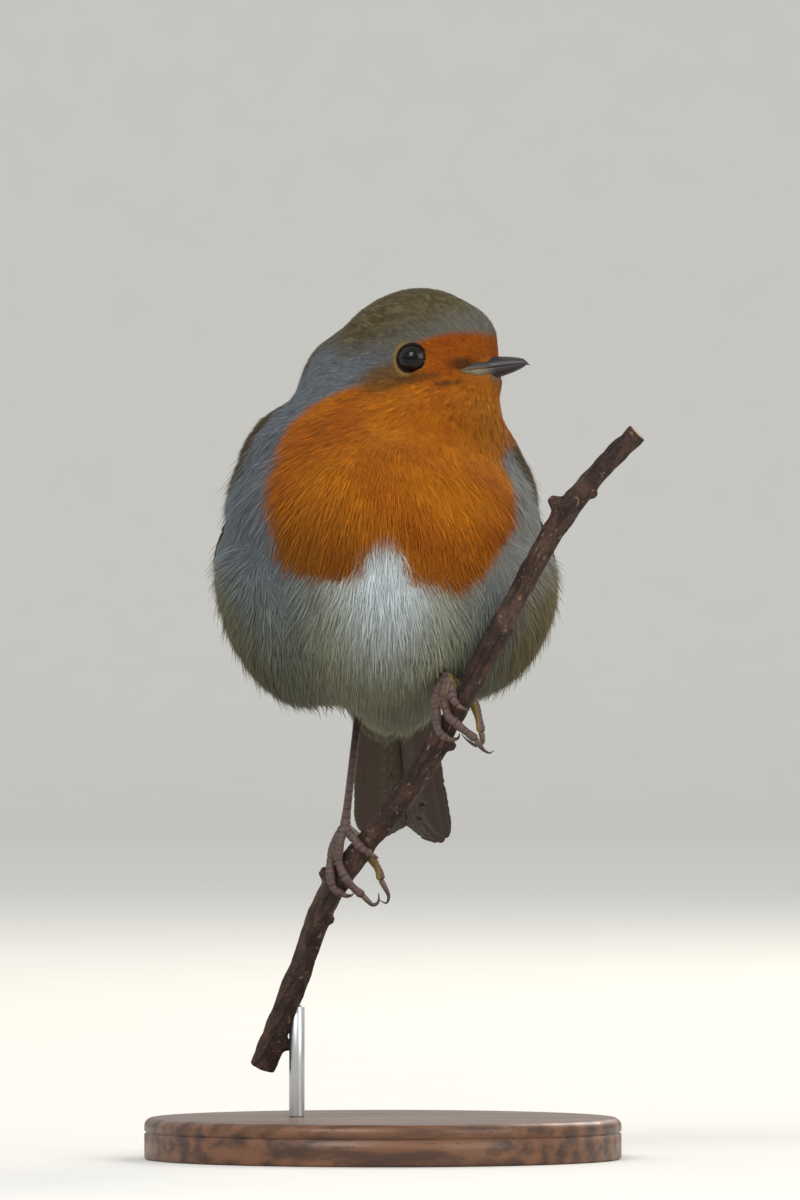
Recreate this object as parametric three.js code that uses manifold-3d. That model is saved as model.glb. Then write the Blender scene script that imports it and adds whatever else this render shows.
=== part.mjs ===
// A life-size European robin, fluffed up against the cold and gripping a slanting twig.
// The twig is a cut length held by one rod on a round display base.
// Millimetres, +Z up. The bird's breast faces -Y and its tail points to +Y.
// The origin is the middle of the base's underside.
import * as THREE from "three";
import { mergeVertices } from "three/addons/utils/BufferGeometryUtils.js";
import Module from "manifold-3d";

const wasm = await Module();
wasm.setup();

// ---- Driving sizes -------------------------------------------------------------------------------------
const GAP = 0.3; // between pieces that meet
const FINE_GAP = 0.15; // between the small parts of the bill and the feet
const BASE = { radius: 46, height: 8, bevel: 1.2 };
const ROD = { radius: 1.5, x: -16.6, y: 3.4, top: 29.5 };
const BODY_HALF_WIDTH = 34;
const BODY_LEVEL = 107; // height of the widest part of the body

// The head is turned towards the bird's left, and the bill points a little up.
const HEAD = { at: [9, -6, 155], turn: 61, lift: 6 };
const EYE = { radius: 3.3, forward: 0.7, aside: 7.6, up: -1.2 };
const BILL = { root: 7.5, tip: 21.6, width: 2.7, gape: -4.2, culmen: -2.2, chin: -6.3 };

const TAIL = { root: [1.2, 25, 103], tip: [4.6, 68, 60.4], roll: 7, notch: 1.8, corner: 4.5 };
const TAIL_HALF_WIDTH = [5.5, 7.2, 8.4, 9.4, 10];

const PERCH_RADIUS = 2.35;
const TARSUS_RADIUS = 0.76;
const TOE_RADIUS = 0.92;
const CLAW_RADIUS = 0.5;

// ---- Colours -------------------------------------------------------------------------------------------
const paint = (color, roughness, metalness = 0) =>
  new THREE.MeshStandardMaterial({ color, roughness, metalness });
const PAINTS = {
  olive: paint(0x6e6247, 0.9),
  orange: paint(0xc4641c, 0.9),
  grey: paint(0x8c9096, 0.9),
  horn: paint(0x2b2523, 0.45),
  eye: paint(0x120d0b, 0.08),
  leg: paint(0x6a4f44, 0.6),
  bark: paint(0x46312a, 0.85),
  wood: paint(0x4a3120, 0.5),
  steel: paint(0xb8babd, 0.3, 1),
};

// ---- Small helpers -------------------------------------------------------------------------------------
const V = (x, y, z) => new THREE.Vector3(x, y, z);
const { degToRad, lerp, clamp, smoothstep } = THREE.MathUtils;

// The value of a row of evenly spaced sizes at t, from 0 to 1, along a smooth curve.
function along(sizes, t) {
  const curve = new THREE.SplineCurve(sizes.map((size, i) => new THREE.Vector2(i, size)));
  return curve.getPoint(clamp(t, 0, 1)).y;
}

// A closed solid from a three.js geometry, turned the right way out.
function solid(geometry) {
  const bare = new THREE.BufferGeometry().setAttribute("position", geometry.getAttribute("position"));
  bare.setIndex(geometry.getIndex());
  const merged = mergeVertices(bare, 1e-4);
  const triVerts = new Uint32Array(merged.index.array);
  const vertProperties = merged.attributes.position.array;
  const build = () => new wasm.Manifold(new wasm.Mesh({ numProp: 3, vertProperties, triVerts }));
  const made = build();
  if (made.volume() > 0) return made;
  for (let i = 0; i < triVerts.length; i += 3)
    [triVerts[i + 1], triVerts[i + 2]] = [triVerts[i + 2], triVerts[i + 1]];
  return build();
}

const joined = (solids) => solids.reduce((whole, piece) => whole.add(piece));
const without = (whole, pieces) => pieces.reduce((left, piece) => left.subtract(piece), whole);

// The largest single body of a solid, without the crumbs that a cut can leave.
const largest = (whole) => whole.decompose().sort((a, b) => b.volume() - a.volume())[0];

// A closed solid over a run of rings with the same number of points, with a fan over each end.
function loft(rings) {
  const count = rings[0].length;
  const middle = (ring) => ring.reduce((sum, p) => sum.add(p), V(0, 0, 0)).divideScalar(count);
  const points = [...rings.flat(), middle(rings[0]), middle(rings.at(-1))];
  const first = rings.length * count;
  const last = first + 1;
  const end = (rings.length - 1) * count;
  const faces = [];
  for (let i = 0; i < count; i++) {
    const next = (i + 1) % count;
    for (let r = 0; r < end; r += count)
      faces.push(r + i, r + next, r + next + count, r + i, r + next + count, r + i + count);
    faces.push(first, next, i, last, end + i, end + next);
  }
  const geometry = new THREE.BufferGeometry().setFromPoints(points);
  geometry.setIndex(faces);
  return solid(geometry);
}

// A limb along a smooth line through its joints. radiusAt(t) gives its radius, and both ends are round.
function limb(joints, radiusAt, { sides = 8, steps = 12, grow = 0 } = {}) {
  const line = new THREE.CatmullRomCurve3(joints, false, "centripetal");
  const length = line.getLength();
  const frames = line.computeFrenetFrames(steps, false);
  const rings = [];
  for (let i = 0; i <= steps; i++) {
    const t = i / steps;
    const size = radiusAt(t) + grow;
    const fromEnd = Math.min(t, 1 - t) * length + 0.25 * size;
    const round = Math.sqrt(1 - (1 - Math.min(1, fromEnd / size)) ** 2);
    const centre = line.getPointAt(t);
    rings.push(circle(centre, frames.normals[i], frames.binormals[i], size * round, sides));
  }
  return loft(rings);
}

// An ellipse of points about a centre, along two directions.
function ellipse(centre, across, up, halfWidth, halfHeight, sides) {
  return Array.from({ length: sides }, (_, i) => {
    const a = (2 * Math.PI * i) / sides;
    return centre
      .clone()
      .addScaledVector(across, halfWidth * Math.cos(a))
      .addScaledVector(up, halfHeight * Math.sin(a));
  });
}

const circle = (centre, across, up, radius, sides) => ellipse(centre, across, up, radius, radius, sides);

// ---- The plumage as masses -----------------------------------------------------------------------------
// Each mass is an ellipsoid of feathers in its own frame. Neighbours blend into each other.
const BODY_FRAME = new THREE.Matrix4();

const forward = V(Math.sin(degToRad(HEAD.turn)), -Math.cos(degToRad(HEAD.turn)), 0);
const leftward = V(Math.cos(degToRad(HEAD.turn)), Math.sin(degToRad(HEAD.turn)), 0);
const HEAD_FRAME = new THREE.Matrix4()
  .makeBasis(forward, leftward, V(0, 0, 1))
  .multiply(new THREE.Matrix4().makeRotationY(degToRad(-HEAD.lift)))
  .setPosition(...HEAD.at);
const inHead = (x, y, z) => V(x, y, z).applyMatrix4(HEAD_FRAME);

// tip is the angle that the top of the mass leans forward and roll the angle that it leans left, in degrees.
function mass(frame, at, radii, tip = 0, roll = 0) {
  const place = frame
    .clone()
    .multiply(new THREE.Matrix4().makeTranslation(...at))
    .multiply(new THREE.Matrix4().makeRotationY(degToRad(roll)))
    .multiply(new THREE.Matrix4().makeRotationX(degToRad(tip)));
  return { inverse: place.invert(), radii: V(...radii) };
}

const bothSides = (frame, [x, y, z], radii, tip, axis) =>
  [1, -1].map((side) => mass(frame, axis === "x" ? [side * x, y, z] : [x, side * y, z], radii, tip));

const HEAD_MASSES = [
  mass(HEAD_FRAME, [-1.4, 0, 1], [12.6, 8.9, 10.6]), // skull
  mass(HEAD_FRAME, [-3.8, 0, 4.6], [12, 8, 7.4]), // crown
  mass(HEAD_FRAME, [9.2, 0, 0.9], [5, 4, 5.4]), // forehead
  mass(HEAD_FRAME, [8.7, 0, -6.5], [5.2, 4.4, 3.7]), // chin
  ...bothSides(HEAD_FRAME, [-1.5, 3.2, -4.6], [7.6, 4.6, 5.6], 0, "y"), // cheeks
];
const NECK_MASSES = [
  mass(BODY_FRAME, [10.2, -9.5, 141.5], [13.2, 12.6, 10]), // throat
  mass(BODY_FRAME, [-4.1, 2.5, 147.2], [12.6, 12, 13.4]), // nape
  mass(BODY_FRAME, [-1.5, 0, 137], [21.5, 18, 12.5]), // neck ruff
];
const TRUNK_MASSES = [
  mass(BODY_FRAME, [0, -7, 123], [27.5, 26, 23]), // breast
  mass(BODY_FRAME, [0, -3, BODY_LEVEL], [BODY_HALF_WIDTH - 6, 30, 21]), // belly
  mass(BODY_FRAME, [3.1, 2, 95.8], [9.6, 18, 13.6]), // lower belly
  mass(BODY_FRAME, [0, 9, 124], [24, 20, 27], 28), // mantle
  mass(BODY_FRAME, [0, 17, 107], [24.5, 20, 19.5], 38), // rump
  mass(BODY_FRAME, [0.6, 31, 98], [10.5, 15, 8], -42), // over the tail
  mass(BODY_FRAME, [0.6, 27, 92.8], [9.5, 17, 6.8], -38), // under the tail
];
const FLANK_MASSES = [
  mass(BODY_FRAME, [20.4, -3, 106.2], [12.6, 22, 17.6], 0, 25), // left flank
  mass(BODY_FRAME, [-21.2, -3, 104.8], [9.4, 22, 18], 0, -24), // right flank
];
// Feathers over the bends of the wings. The wings themselves hug the plumage without them.
const SHOULDER_MASSES = [
  mass(BODY_FRAME, [20, -1, 134.2], [6.8, 10, 8], 0, -24),
  mass(BODY_FRAME, [-20.7, -1, 134.5], [7.1, 10, 9.2], 0, 24),
  mass(BODY_FRAME, [24.5, -2, 124.8], [5.2, 11, 8.6]),
  mass(BODY_FRAME, [-25.1, -2, 124.2], [4.7, 11, 8.4]),
];
const PLUMAGE = [...TRUNK_MASSES, ...FLANK_MASSES, ...NECK_MASSES, ...HEAD_MASSES];

// How far a point is outside a mass, or inside it if negative.
function depth(point, { inverse, radii }) {
  const q = point.clone().applyMatrix4(inverse).divide(radii);
  const scaled = q.length();
  return (scaled * (scaled - 1)) / q.clone().divide(radii).length();
}

// The same for a set of masses that blend over a distance in millimetres.
function outside(point, masses) {
  const blend = 6;
  return masses.reduce((nearest, one) => {
    const other = depth(point, one);
    const overlap = Math.max(blend - Math.abs(nearest - other), 0) / blend;
    return Math.min(nearest, other) - (overlap * overlap * blend) / 4;
  }, 1e3);
}

// A closed skin round masses, found by looking in from all sides towards a point inside them.
function skinRound(masses, centre, detail) {
  const reach = 95;
  const geometry = mergeVertices(
    new THREE.IcosahedronGeometry(1, detail).deleteAttribute("normal").deleteAttribute("uv"),
  );
  const place = geometry.getAttribute("position");
  const direction = V(0, 0, 0);
  for (let i = 0; i < place.count; i++) {
    direction.fromBufferAttribute(place, i).normalize();
    let distance = reach;
    for (let step = 0; step < 60 && distance > 0.5; step++) {
      const gap = outside(centre.clone().addScaledVector(direction, distance), masses);
      if (gap < 0.01) break;
      distance -= 0.7 * gap;
    }
    place.setXYZ(i, ...centre.clone().addScaledVector(direction, distance).toArray());
  }
  return solid(geometry);
}

// Everything on the upper side of a plane through a point.
function above(point, normal) {
  const size = 200;
  const box = new THREE.BoxGeometry(size, size, size).translate(0, 0, size / 2);
  box.applyQuaternion(new THREE.Quaternion().setFromUnitVectors(V(0, 0, 1), normal.clone().normalize()));
  return solid(box.translate(point.x, point.y, point.z));
}

// ---- Perch ---------------------------------------------------------------------------------------------
// The twig climbs towards the bird's left and leans towards the front.
const PERCH_LINE = new THREE.CatmullRomCurve3(
  [
    [-23.2, 5.6, 17.5], [-16.3, 1, 35.5], [-10.5, -4.2, 50.6], [-3.8, -8.6, 60.2], [4.2, -13, 70.2],
    [16.7, -23.6, 91.2], [24.9, -28.6, 106.9], [33.7, -32.4, 122.7], [41.5, -34, 132.5], [48.5, -35, 139.5],
  ].map((p) => V(...p)),
  false,
  "centripetal",
);
const PERCH_LENGTH = PERCH_LINE.getLength();
// The twig tapers upwards and swells a little where its nodes are.
const perchSwell = (t) => 0.05 * Math.sin(31 * t) + 0.03 * Math.sin(67 * t);
const perchRadiusAt = (t) => PERCH_RADIUS * (1.02 - 0.16 * t + perchSwell(t));
// Buds and old twig scars: how far along, round to which side, how long and how thick.
const KNOBS = [
  { t: 0.036, turn: 95, length: 1.9, radius: 1.4 },
  { t: 0.215, turn: 95, length: 0.7, radius: 1.1 },
  { t: 0.268, turn: -95, length: 1.9, radius: 1.6 },
  { t: 0.512, turn: 95, length: 1.5, radius: 1.3 },
  { t: 0.69, turn: 70, length: 0.9, radius: 1.5 },
  { t: 0.862, turn: -90, length: 2.2, radius: 1.6 },
  { t: 0.9, turn: 95, length: 0.8, radius: 1.2 },
];

// The twig's centre, its direction, and its front and right side at t along it.
function perchFrame(t) {
  const centre = PERCH_LINE.getPointAt(clamp(t, 0, 1));
  const direction = PERCH_LINE.getTangentAt(clamp(t, 0, 1));
  const front = V(0, -1, 0).addScaledVector(direction, direction.y).normalize();
  return { centre, direction, front, right: direction.clone().cross(front) };
}

// A point beside the twig: turned so many degrees from the front to the right, and so far from its line.
function besidePerch(t, turn, out) {
  const { centre, front, right } = perchFrame(t);
  const a = degToRad(turn);
  return centre.addScaledVector(front, out * Math.cos(a)).addScaledVector(right, out * Math.sin(a));
}

function perchBar(grow = 0, sides = 8, steps = 24) {
  const rings = [];
  for (let i = 0; i <= steps; i++) {
    const t = i / steps;
    const { centre, front, right } = perchFrame(t);
    const size = perchRadiusAt(t) + grow;
    rings.push(circle(centre, front, right, size, sides));
  }
  return loft(rings);
}

function perchKnob({ t, turn, length, radius }, grow = 0) {
  const reach = perchRadiusAt(t) + length;
  const joints = [0.4, 0.75, 1].map((share) => besidePerch(t + 0.008 * share, turn, share * reach));
  return limb(joints, (s) => radius * (1 - 0.35 * s), { sides: 6, steps: 3, grow });
}

const perch = (grow = 0) => joined([perchBar(grow), ...KNOBS.map((knob) => perchKnob(knob, grow))]);

// The lowest t whose point on the line is at a height.
function perchAt(height) {
  let t = 0;
  while (t < 1 && PERCH_LINE.getPointAt(t).z < height) t += 0.001;
  return t;
}

// ---- Legs and feet -------------------------------------------------------------------------------------
// A joint is [up, across, front]: millimetres up the twig from the foot's height, to the right of the
// twig's line, and in front of it. Without the third number the joint lies on the bark of the front.
const FEET = {
  right: {
    height: 61.5,
    heel: [-4.6, 6.5, 87],
    knuckle: [-0.6, -5.2, 0.2],
    toes: {
      inner: [[-0.8, -2.4], [-1, 0.2], [-0.9, 1.9]],
      middle: [[-3, -4.2, 1.7], [-5.9, -2.4], [-7.7, 0.8], [-8.6, 2.9, 2.7], [-9, 5.6, 2.4]],
      outer: [[-3, -5.1, 0.6], [-5.4, -4.3, 1.2], [-7.4, -3.3, 1.9], [-9.5, -1.5], [-11, 0.3], [-11.2, 2]],
      hind: [[-1.9, -2.8, -3], [-3, 0.2, -3.9], [-3.8, 2.9, -3], [-4.2, 5.1, -1.6], [-5.2, 6.6, -0.8]],
    },
    claws: {
      inner: [[-0.95, 2.7, 2.5], [-1.1, 3.4, 1.7], [-1.2, 3.6, 0.8]],
      middle: [[-9.4, 7, 2.3], [-9.5, 8.2, 2.2], [-8.4, 8.7, 2], [-6.6, 7.7, 1.6]],
      outer: [[-11.1, 3, 2.4], [-10.8, 3.7, 1.6], [-10.4, 3.9, 0.7]],
      hind: [[-5.8, 8, -0.5], [-6.8, 9.7, -0.2], [-8.3, 10.1, 0], [-8.7, 8.8, 0]],
    },
  },
  left: {
    height: 90.2,
    heel: [5.6, -3, 100],
    knuckle: [0.7, -4.8, 0.2],
    toes: {
      inner: [[-0.3, -3.1], [-1.6, -1.9], [-2.2, -0.4]],
      middle: [[-1.6, -4, 1.7], [-3.4, -2.8], [-5, -1], [-5.8, 1.3], [-6.2, 3.7, 2.8], [-6.6, 6, 2.6]],
      outer: [[-1.4, -5.1, 0.8], [-3.8, -4.7, 1.2], [-6, -3.2, 1.9], [-8.2, -1.7], [-9.1, -0.3], [-9.2, 1]],
      hind: [[-0.6, -3, -2.9], [-1.6, 0, -3.9], [-2.9, 2.4, -3.1], [-4.2, 4.3, -1.6], [-6, 6.2, -0.2]],
    },
    claws: {
      inner: [[-2.3, 0.5, 3.1], [-2.2, 1.5, 2.8], [-2.2, 2.3, 2.1]],
      middle: [[-7.5, 7.4, 2.5], [-7.9, 8.6, 2.3], [-7.9, 9.6, 2], [-7.2, 10, 1.7]],
      outer: [[-9, 2.1, 2.8], [-8.4, 2.9, 2.2], [-7.6, 2.7, 1.7]],
      hind: [[-7.6, 7.3, 0.2], [-8.7, 6.6, 0.3], [-8.7, 5, 0.4], [-8.2, 3.1, 0.4]],
    },
  },
};

// The joints of a toe or claw as points, for a foot at a height on the twig.
function footPoints(foot, joints) {
  const start = perchAt(foot.height);
  return joints.map(([up, across, front]) => {
    const t = start + up / PERCH_LENGTH;
    const onBark = perchRadiusAt(t) + TOE_RADIUS + 0.1;
    const before = front ?? Math.sqrt(Math.max(0, onBark ** 2 - across ** 2));
    const frame = perchFrame(t);
    return frame.centre.addScaledVector(frame.front, before).addScaledVector(frame.right, across);
  });
}

const toeRadiusAt = (t) => TOE_RADIUS * (1.06 - 0.16 * t + 0.1 * Math.cos(3 * 2 * Math.PI * t));
const clawRadiusAt = (t) => CLAW_RADIUS * (1 - 0.82 * t ** 1.2);

function toe(foot, name, grow = 0) {
  const joints = footPoints(foot, [foot.knuckle, ...foot.toes[name]]);
  return limb(joints, toeRadiusAt, { sides: 6, steps: 2 * joints.length - 2, grow });
}

// A claw starts inside the end of its toe, which is then cut away from it.
function claw(foot, name, grow = 0) {
  const joints = footPoints(foot, [foot.toes[name].at(-1), ...foot.claws[name]]);
  return limb(joints, clawRadiusAt, { sides: 5, steps: 5, grow });
}

// The hollow that the plumage leaves round a foot that grips the twig against the belly.
function footHollow(foot) {
  const middle = footPoints(foot, [[7, -1, 0], [-3, -0.6, 0], [-16, 2, 0]]);
  return limb(middle, () => 6.2, { sides: 10, steps: 6 });
}

function tarsus(foot, grow = 0) {
  const [knuckle] = footPoints(foot, [foot.knuckle]);
  const heel = V(...foot.heel);
  const middle = heel.clone().lerp(knuckle, 0.5).add(V(0, 0.5, 0));
  const radiusAt = (t) => TARSUS_RADIUS * (1 + 0.5 * (2 * t - 1) ** 6);
  return limb([heel, middle, knuckle], radiusAt, { sides: 8, steps: 8, grow });
}

// ---- Wings ---------------------------------------------------------------------------------------------
// A folded wing hugs the side of the back, from the bend of the wing to the tip beside the tail.
const WING = {
  line: [[22.5, -3, 139], [28, 7, 128], [27.4, 20, 114.5], [23.2, 31.5, 101.5], [19.4, 42, 88.8]],
  halfWidth: [5, 10.6, 13.6, 11.4, 1.4],
  halfThickness: [1, 1.4, 1.4, 1.1, 0.5],
  freeFrom: 0.6, // past this share of its length the wing leaves the body and runs on by itself
};

function wing(side, grow = 0) {
  const steps = 16;
  const sides = 12;
  const line = new THREE.CatmullRomCurve3(
    WING.line.map(([x, y, z]) => V(side * x, y, z)),
    false,
    "centripetal",
  );
  const rings = [];
  for (let i = 0; i <= steps; i++) {
    const t = i / steps;
    const heading = line.getTangentAt(t);
    const outward = V(side * lerp(0.9, 0.75, t), lerp(0.3, 0.7, t), 0.25);
    outward.addScaledVector(heading, -outward.dot(heading)).normalize();
    const across = heading.clone().cross(outward);
    const halfWidth = along(WING.halfWidth, t) * Math.sqrt(Math.min(1, 0.15 + 6 * t)) + grow;
    const halfThickness = along(WING.halfThickness, t) + grow;
    const hug = 1 - smoothstep(t, WING.freeFrom, 0.9);
    const ring = [];
    for (let n = 0; n < sides; n++) {
      const a = (2 * Math.PI * n) / sides;
      const p = line.getPointAt(t).addScaledVector(across, halfWidth * Math.cos(a));
      const lift = halfThickness * Math.sin(a) + hug * (0.3 - outside(p, PLUMAGE));
      const curl = (1 - hug) * (halfWidth * Math.cos(a)) ** 2 / 50;
      ring.push(p.addScaledVector(outward, lift - curl));
    }
    rings.push(ring);
  }
  return loft(rings);
}

// ---- Tail ----------------------------------------------------------------------------------------------
function tail(grow = 0) {
  const steps = 9;
  const sides = 16;
  const root = V(...TAIL.root);
  const tip = V(...TAIL.tip);
  const heading = tip.clone().sub(root).normalize();
  const level = V(0, 0, 1).cross(heading).negate().normalize();
  const across = level.applyAxisAngle(heading, degToRad(TAIL.roll));
  const top = across.clone().cross(heading).normalize();
  const rings = [];
  for (let i = 0; i <= steps; i++) {
    const t = i / steps;
    const centre = root.clone().lerp(tip, t);
    const halfWidth = along(TAIL_HALF_WIDTH, t) + grow;
    const halfThickness = lerp(1.7, 0.45, smoothstep(t, 0, 1)) + grow;
    const ring = ellipse(centre, across, top, halfWidth, halfThickness, sides);
    ring.forEach((p, n) => {
      const v = Math.abs(Math.cos((2 * Math.PI * n) / sides));
      const short = TAIL.notch * (1 - smoothstep(v, 0, 0.62)) + TAIL.corner * smoothstep(v, 0.6, 1.15);
      p.addScaledVector(heading, -short * t ** 4).addScaledVector(top, -0.9 * v * v);
    });
    rings.push(ring);
  }
  return loft(rings);
}

// ---- Bill and eyes -------------------------------------------------------------------------------------
// A half of the bill lies above or below the line of the gape and tapers to the tip.
function billHalf(edge, length, grow = 0) {
  const steps = 8;
  const up = Math.sign(edge - BILL.gape);
  const rings = [];
  for (let i = 0; i <= steps; i++) {
    const t = i / steps;
    const x = lerp(BILL.root - grow, length + grow, t);
    const taper = Math.sqrt(Math.max(0.01, 1 - t ** 1.7));
    const halfWidth = BILL.width * taper * lerp(1, 0.62, t) + grow;
    const hook = up > 0 ? 0.5 * smoothstep(x, BILL.tip - 0.8, BILL.tip) : 0;
    const seam = BILL.gape + up * (FINE_GAP / 2 - grow) + 0.025 * (x - BILL.root) - hook;
    const swell = 1 + 0.06 * Math.sin(Math.PI * t);
    const height = (edge - BILL.gape) * taper ** 1.1 * swell + 2 * up * grow;
    const ring = [];
    for (let n = 0; n <= 8; n++) {
      const a = (Math.PI * n) / 8;
      ring.push(inHead(x, halfWidth * Math.cos(a), seam + height * Math.sin(a) ** 0.9));
    }
    rings.push(ring);
  }
  return loft(rings);
}

const upperBill = (grow = 0) => billHalf(BILL.culmen, BILL.tip, grow);
const lowerBill = (grow = 0) => billHalf(BILL.chin, BILL.tip - 0.7, grow);

function eye(side, grow = 0) {
  const ball = new THREE.IcosahedronGeometry(EYE.radius + grow, 2);
  const centre = inHead(EYE.forward, side * EYE.aside, EYE.up);
  return solid(ball.translate(centre.x, centre.y, centre.z));
}

// ---- Stand ---------------------------------------------------------------------------------------------
function standBase() {
  const { radius, height, bevel } = BASE;
  const profile = [
    [0, 0], [radius - 0.6, 0], [radius, 0.6], [radius, height - bevel - 1],
    [radius - 0.5 * bevel, height - 0.4 * bevel], [radius - 1.4 * bevel, height], [0, height],
  ].map(([r, z]) => new THREE.Vector2(r, z));
  return solid(new THREE.LatheGeometry(profile, 32).rotateX(Math.PI / 2));
}

function standRod(grow = 0) {
  const bottom = BASE.height - grow;
  const length = ROD.top + grow - bottom;
  const rod = new THREE.CylinderGeometry(ROD.radius + grow, ROD.radius + grow, length, 14);
  return solid(rod.rotateX(Math.PI / 2).translate(ROD.x, ROD.y, bottom + length / 2));
}

// ---- Putting the bird together -------------------------------------------------------------------------
const robin = new THREE.Group();

function add(name, whole, material) {
  const { vertProperties, triVerts, numProp } = largest(whole).getMesh();
  const places = new Float32Array((vertProperties.length / numProp) * 3);
  for (let i = 0; i < places.length / 3; i++)
    places.set(vertProperties.subarray(i * numProp, i * numProp + 3), i * 3);
  const geometry = new THREE.BufferGeometry();
  geometry.setAttribute("position", new THREE.BufferAttribute(places, 3));
  geometry.setIndex(new THREE.BufferAttribute(triVerts, 1));
  const mesh = new THREE.Mesh(geometry, material);
  mesh.name = name;
  robin.add(mesh);
}

const SIDES = { right: -1, left: 1 };
const chinCut = { point: V(9, -6, 147), normal: V(-0.12, 0, 1) };
const neckCut = { point: V(0, -2, 136), normal: V(-0.05, -0.25, 1) };
const upperSide = ({ point, normal }) => above(point, normal);
const lowered = ({ point, normal }) =>
  above(point.clone().addScaledVector(normal.clone().normalize(), -GAP), normal);

const fromHead = skinRound(PLUMAGE, V(...HEAD.at), 5);
const fromNeck = skinRound([...PLUMAGE, ...SHOULDER_MASSES], V(1, -2, 141), 5);
const fromTrunk = skinRound([...PLUMAGE, ...SHOULDER_MASSES], V(0, 2, 110), 7);

const perchCut = perchBar(0.8, 6, 14);
const legCuts = Object.values(FEET).flatMap((foot) => [tarsus(foot, GAP), footHollow(foot)]);
const wingCuts = Object.values(SIDES).map((side) => wing(side, GAP));
const billCut = [upperBill(GAP), lowerBill(GAP)];
const eyeCut = [eye(1, GAP), eye(-1, GAP)];

const head = fromHead.intersect(upperSide(chinCut));
const neck = fromNeck.intersect(upperSide(neckCut)).subtract(lowered(chinCut));
const trunk = fromTrunk.subtract(lowered(neckCut));
add("head", without(head, [...billCut, ...eyeCut, ...wingCuts]), PAINTS.orange);
add("neck", without(neck, wingCuts), PAINTS.orange);
add("trunk", without(trunk, [...wingCuts, tail(GAP), perchCut, ...legCuts]), PAINTS.grey);
add("tail", tail(), PAINTS.olive);

const wideBark = perch(0.12);
for (const [name, side] of Object.entries(SIDES)) {
  const foot = FEET[name];
  const toes = Object.keys(foot.toes);
  const sole = joined(toes.map((one) => toe(foot, one))).subtract(wideBark);
  const wideSole = joined(toes.map((one) => toe(foot, one, FINE_GAP)));
  add(name + "_wing", wing(side), PAINTS.olive);
  add(name + "_eye", eye(side), PAINTS.eye);
  add(name + "_leg", tarsus(foot).subtract(wideSole), PAINTS.leg);
  add(name + "_foot", sole, PAINTS.leg);
  for (const one of toes) {
    const free = without(claw(foot, one), [wideSole, wideBark]);
    add(name + "_" + one + "_claw", free, PAINTS.horn);
  }
}
add("upper_bill", upperBill().subtract(lowerBill(FINE_GAP)), PAINTS.horn);
add("lower_bill", lowerBill(), PAINTS.horn);

add("perch", perch().subtract(standRod(0.2)), PAINTS.bark);
add("stand_base", standBase(), PAINTS.wood);
add("stand_rod", standRod(), PAINTS.steel);

export default robin;
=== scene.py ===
"""Looks of a life-size robin that grips a cut twig on a plain display stand.

The classes hold sizes in millimetres and the meshes are in metres. The bird's breast faces
-Y, its tail points to +Y and its left side is on +X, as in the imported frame.
"""

from __future__ import annotations

import logging
import math
from dataclasses import dataclass, field
from enum import Enum
from typing import Any, Callable, Sequence

import bmesh
import bpy
import numpy as np
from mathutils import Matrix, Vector
from mathutils.kdtree import KDTree


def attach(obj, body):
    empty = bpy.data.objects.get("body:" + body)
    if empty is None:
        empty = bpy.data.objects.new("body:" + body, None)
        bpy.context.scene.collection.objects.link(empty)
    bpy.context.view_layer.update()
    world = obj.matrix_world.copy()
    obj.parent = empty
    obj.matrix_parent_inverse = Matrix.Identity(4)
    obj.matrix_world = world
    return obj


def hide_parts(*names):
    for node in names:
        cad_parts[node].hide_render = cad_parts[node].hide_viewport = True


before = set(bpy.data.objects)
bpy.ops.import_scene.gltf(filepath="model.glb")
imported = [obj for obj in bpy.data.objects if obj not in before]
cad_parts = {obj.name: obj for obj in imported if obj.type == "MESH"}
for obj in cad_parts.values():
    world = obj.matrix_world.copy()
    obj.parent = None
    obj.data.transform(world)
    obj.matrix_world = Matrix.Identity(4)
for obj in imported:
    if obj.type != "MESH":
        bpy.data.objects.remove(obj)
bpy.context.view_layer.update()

Array = np.ndarray
Numbers = Sequence[float]
Pair = tuple[float, float]
Triple = tuple[float, float, float]
Tone = tuple[float, ...]
Faces = list[list[int]]
Piece = bpy.types.Object
Mesh = bpy.types.Mesh
Draws = np.random.Generator
LOG = logging.getLogger("robin")
MM = 0.001
BODY = "root"
SIDES = {"right": -1, "left": 1}


# ---- Numbers and curves ----


def lerp(low: Any, high: Any, share: Any) -> Any:
    """The value a share of the way from low to high."""
    return low + (high - low) * share


def smoothstep(value: Any, low: float, high: float) -> Any:
    """0 at low, 1 at high and a smooth ramp between them."""
    share = np.clip((value - low) / (high - low), 0, 1)
    return share * share * (3 - 2 * share)


def unit(vectors: Array) -> Array:
    """The vectors at length 1."""
    length = np.linalg.norm(vectors, axis=-1, keepdims=True)
    return vectors / np.maximum(length, 1e-9)


def dots(a: Array, b: Array) -> Array:
    """The dot product of each pair of vectors."""
    return (a * b).sum(-1)


def around(count: int) -> Array:
    """Evenly spaced angles round a full turn."""
    return np.linspace(0, 2 * math.pi, count, endpoint=False)


def even_spline(sizes: Numbers, share: Array) -> Array:
    """A smooth curve through evenly spaced sizes.

    Args:
        sizes: The sizes, from the start to the end.
        share: Places along the row, from 0 to 1.

    Returns:
        The size at each place.
    """
    row = np.array([sizes[0], *sizes, sizes[-1]], float)
    place = np.clip(share, 0, 1) * (len(sizes) - 1)
    first = np.minimum(place.astype(int), len(sizes) - 2)
    t = place - first
    a, b, c, d = (row[first + k] for k in range(4))
    slope_b, slope_c = (c - a) / 2, (d - b) / 2
    cubic = (2 * b - 2 * c + slope_b + slope_c) * t**3
    return cubic + (3 * c - 3 * b - 2 * slope_b - slope_c) * t**2 + slope_b * t + b


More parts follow.
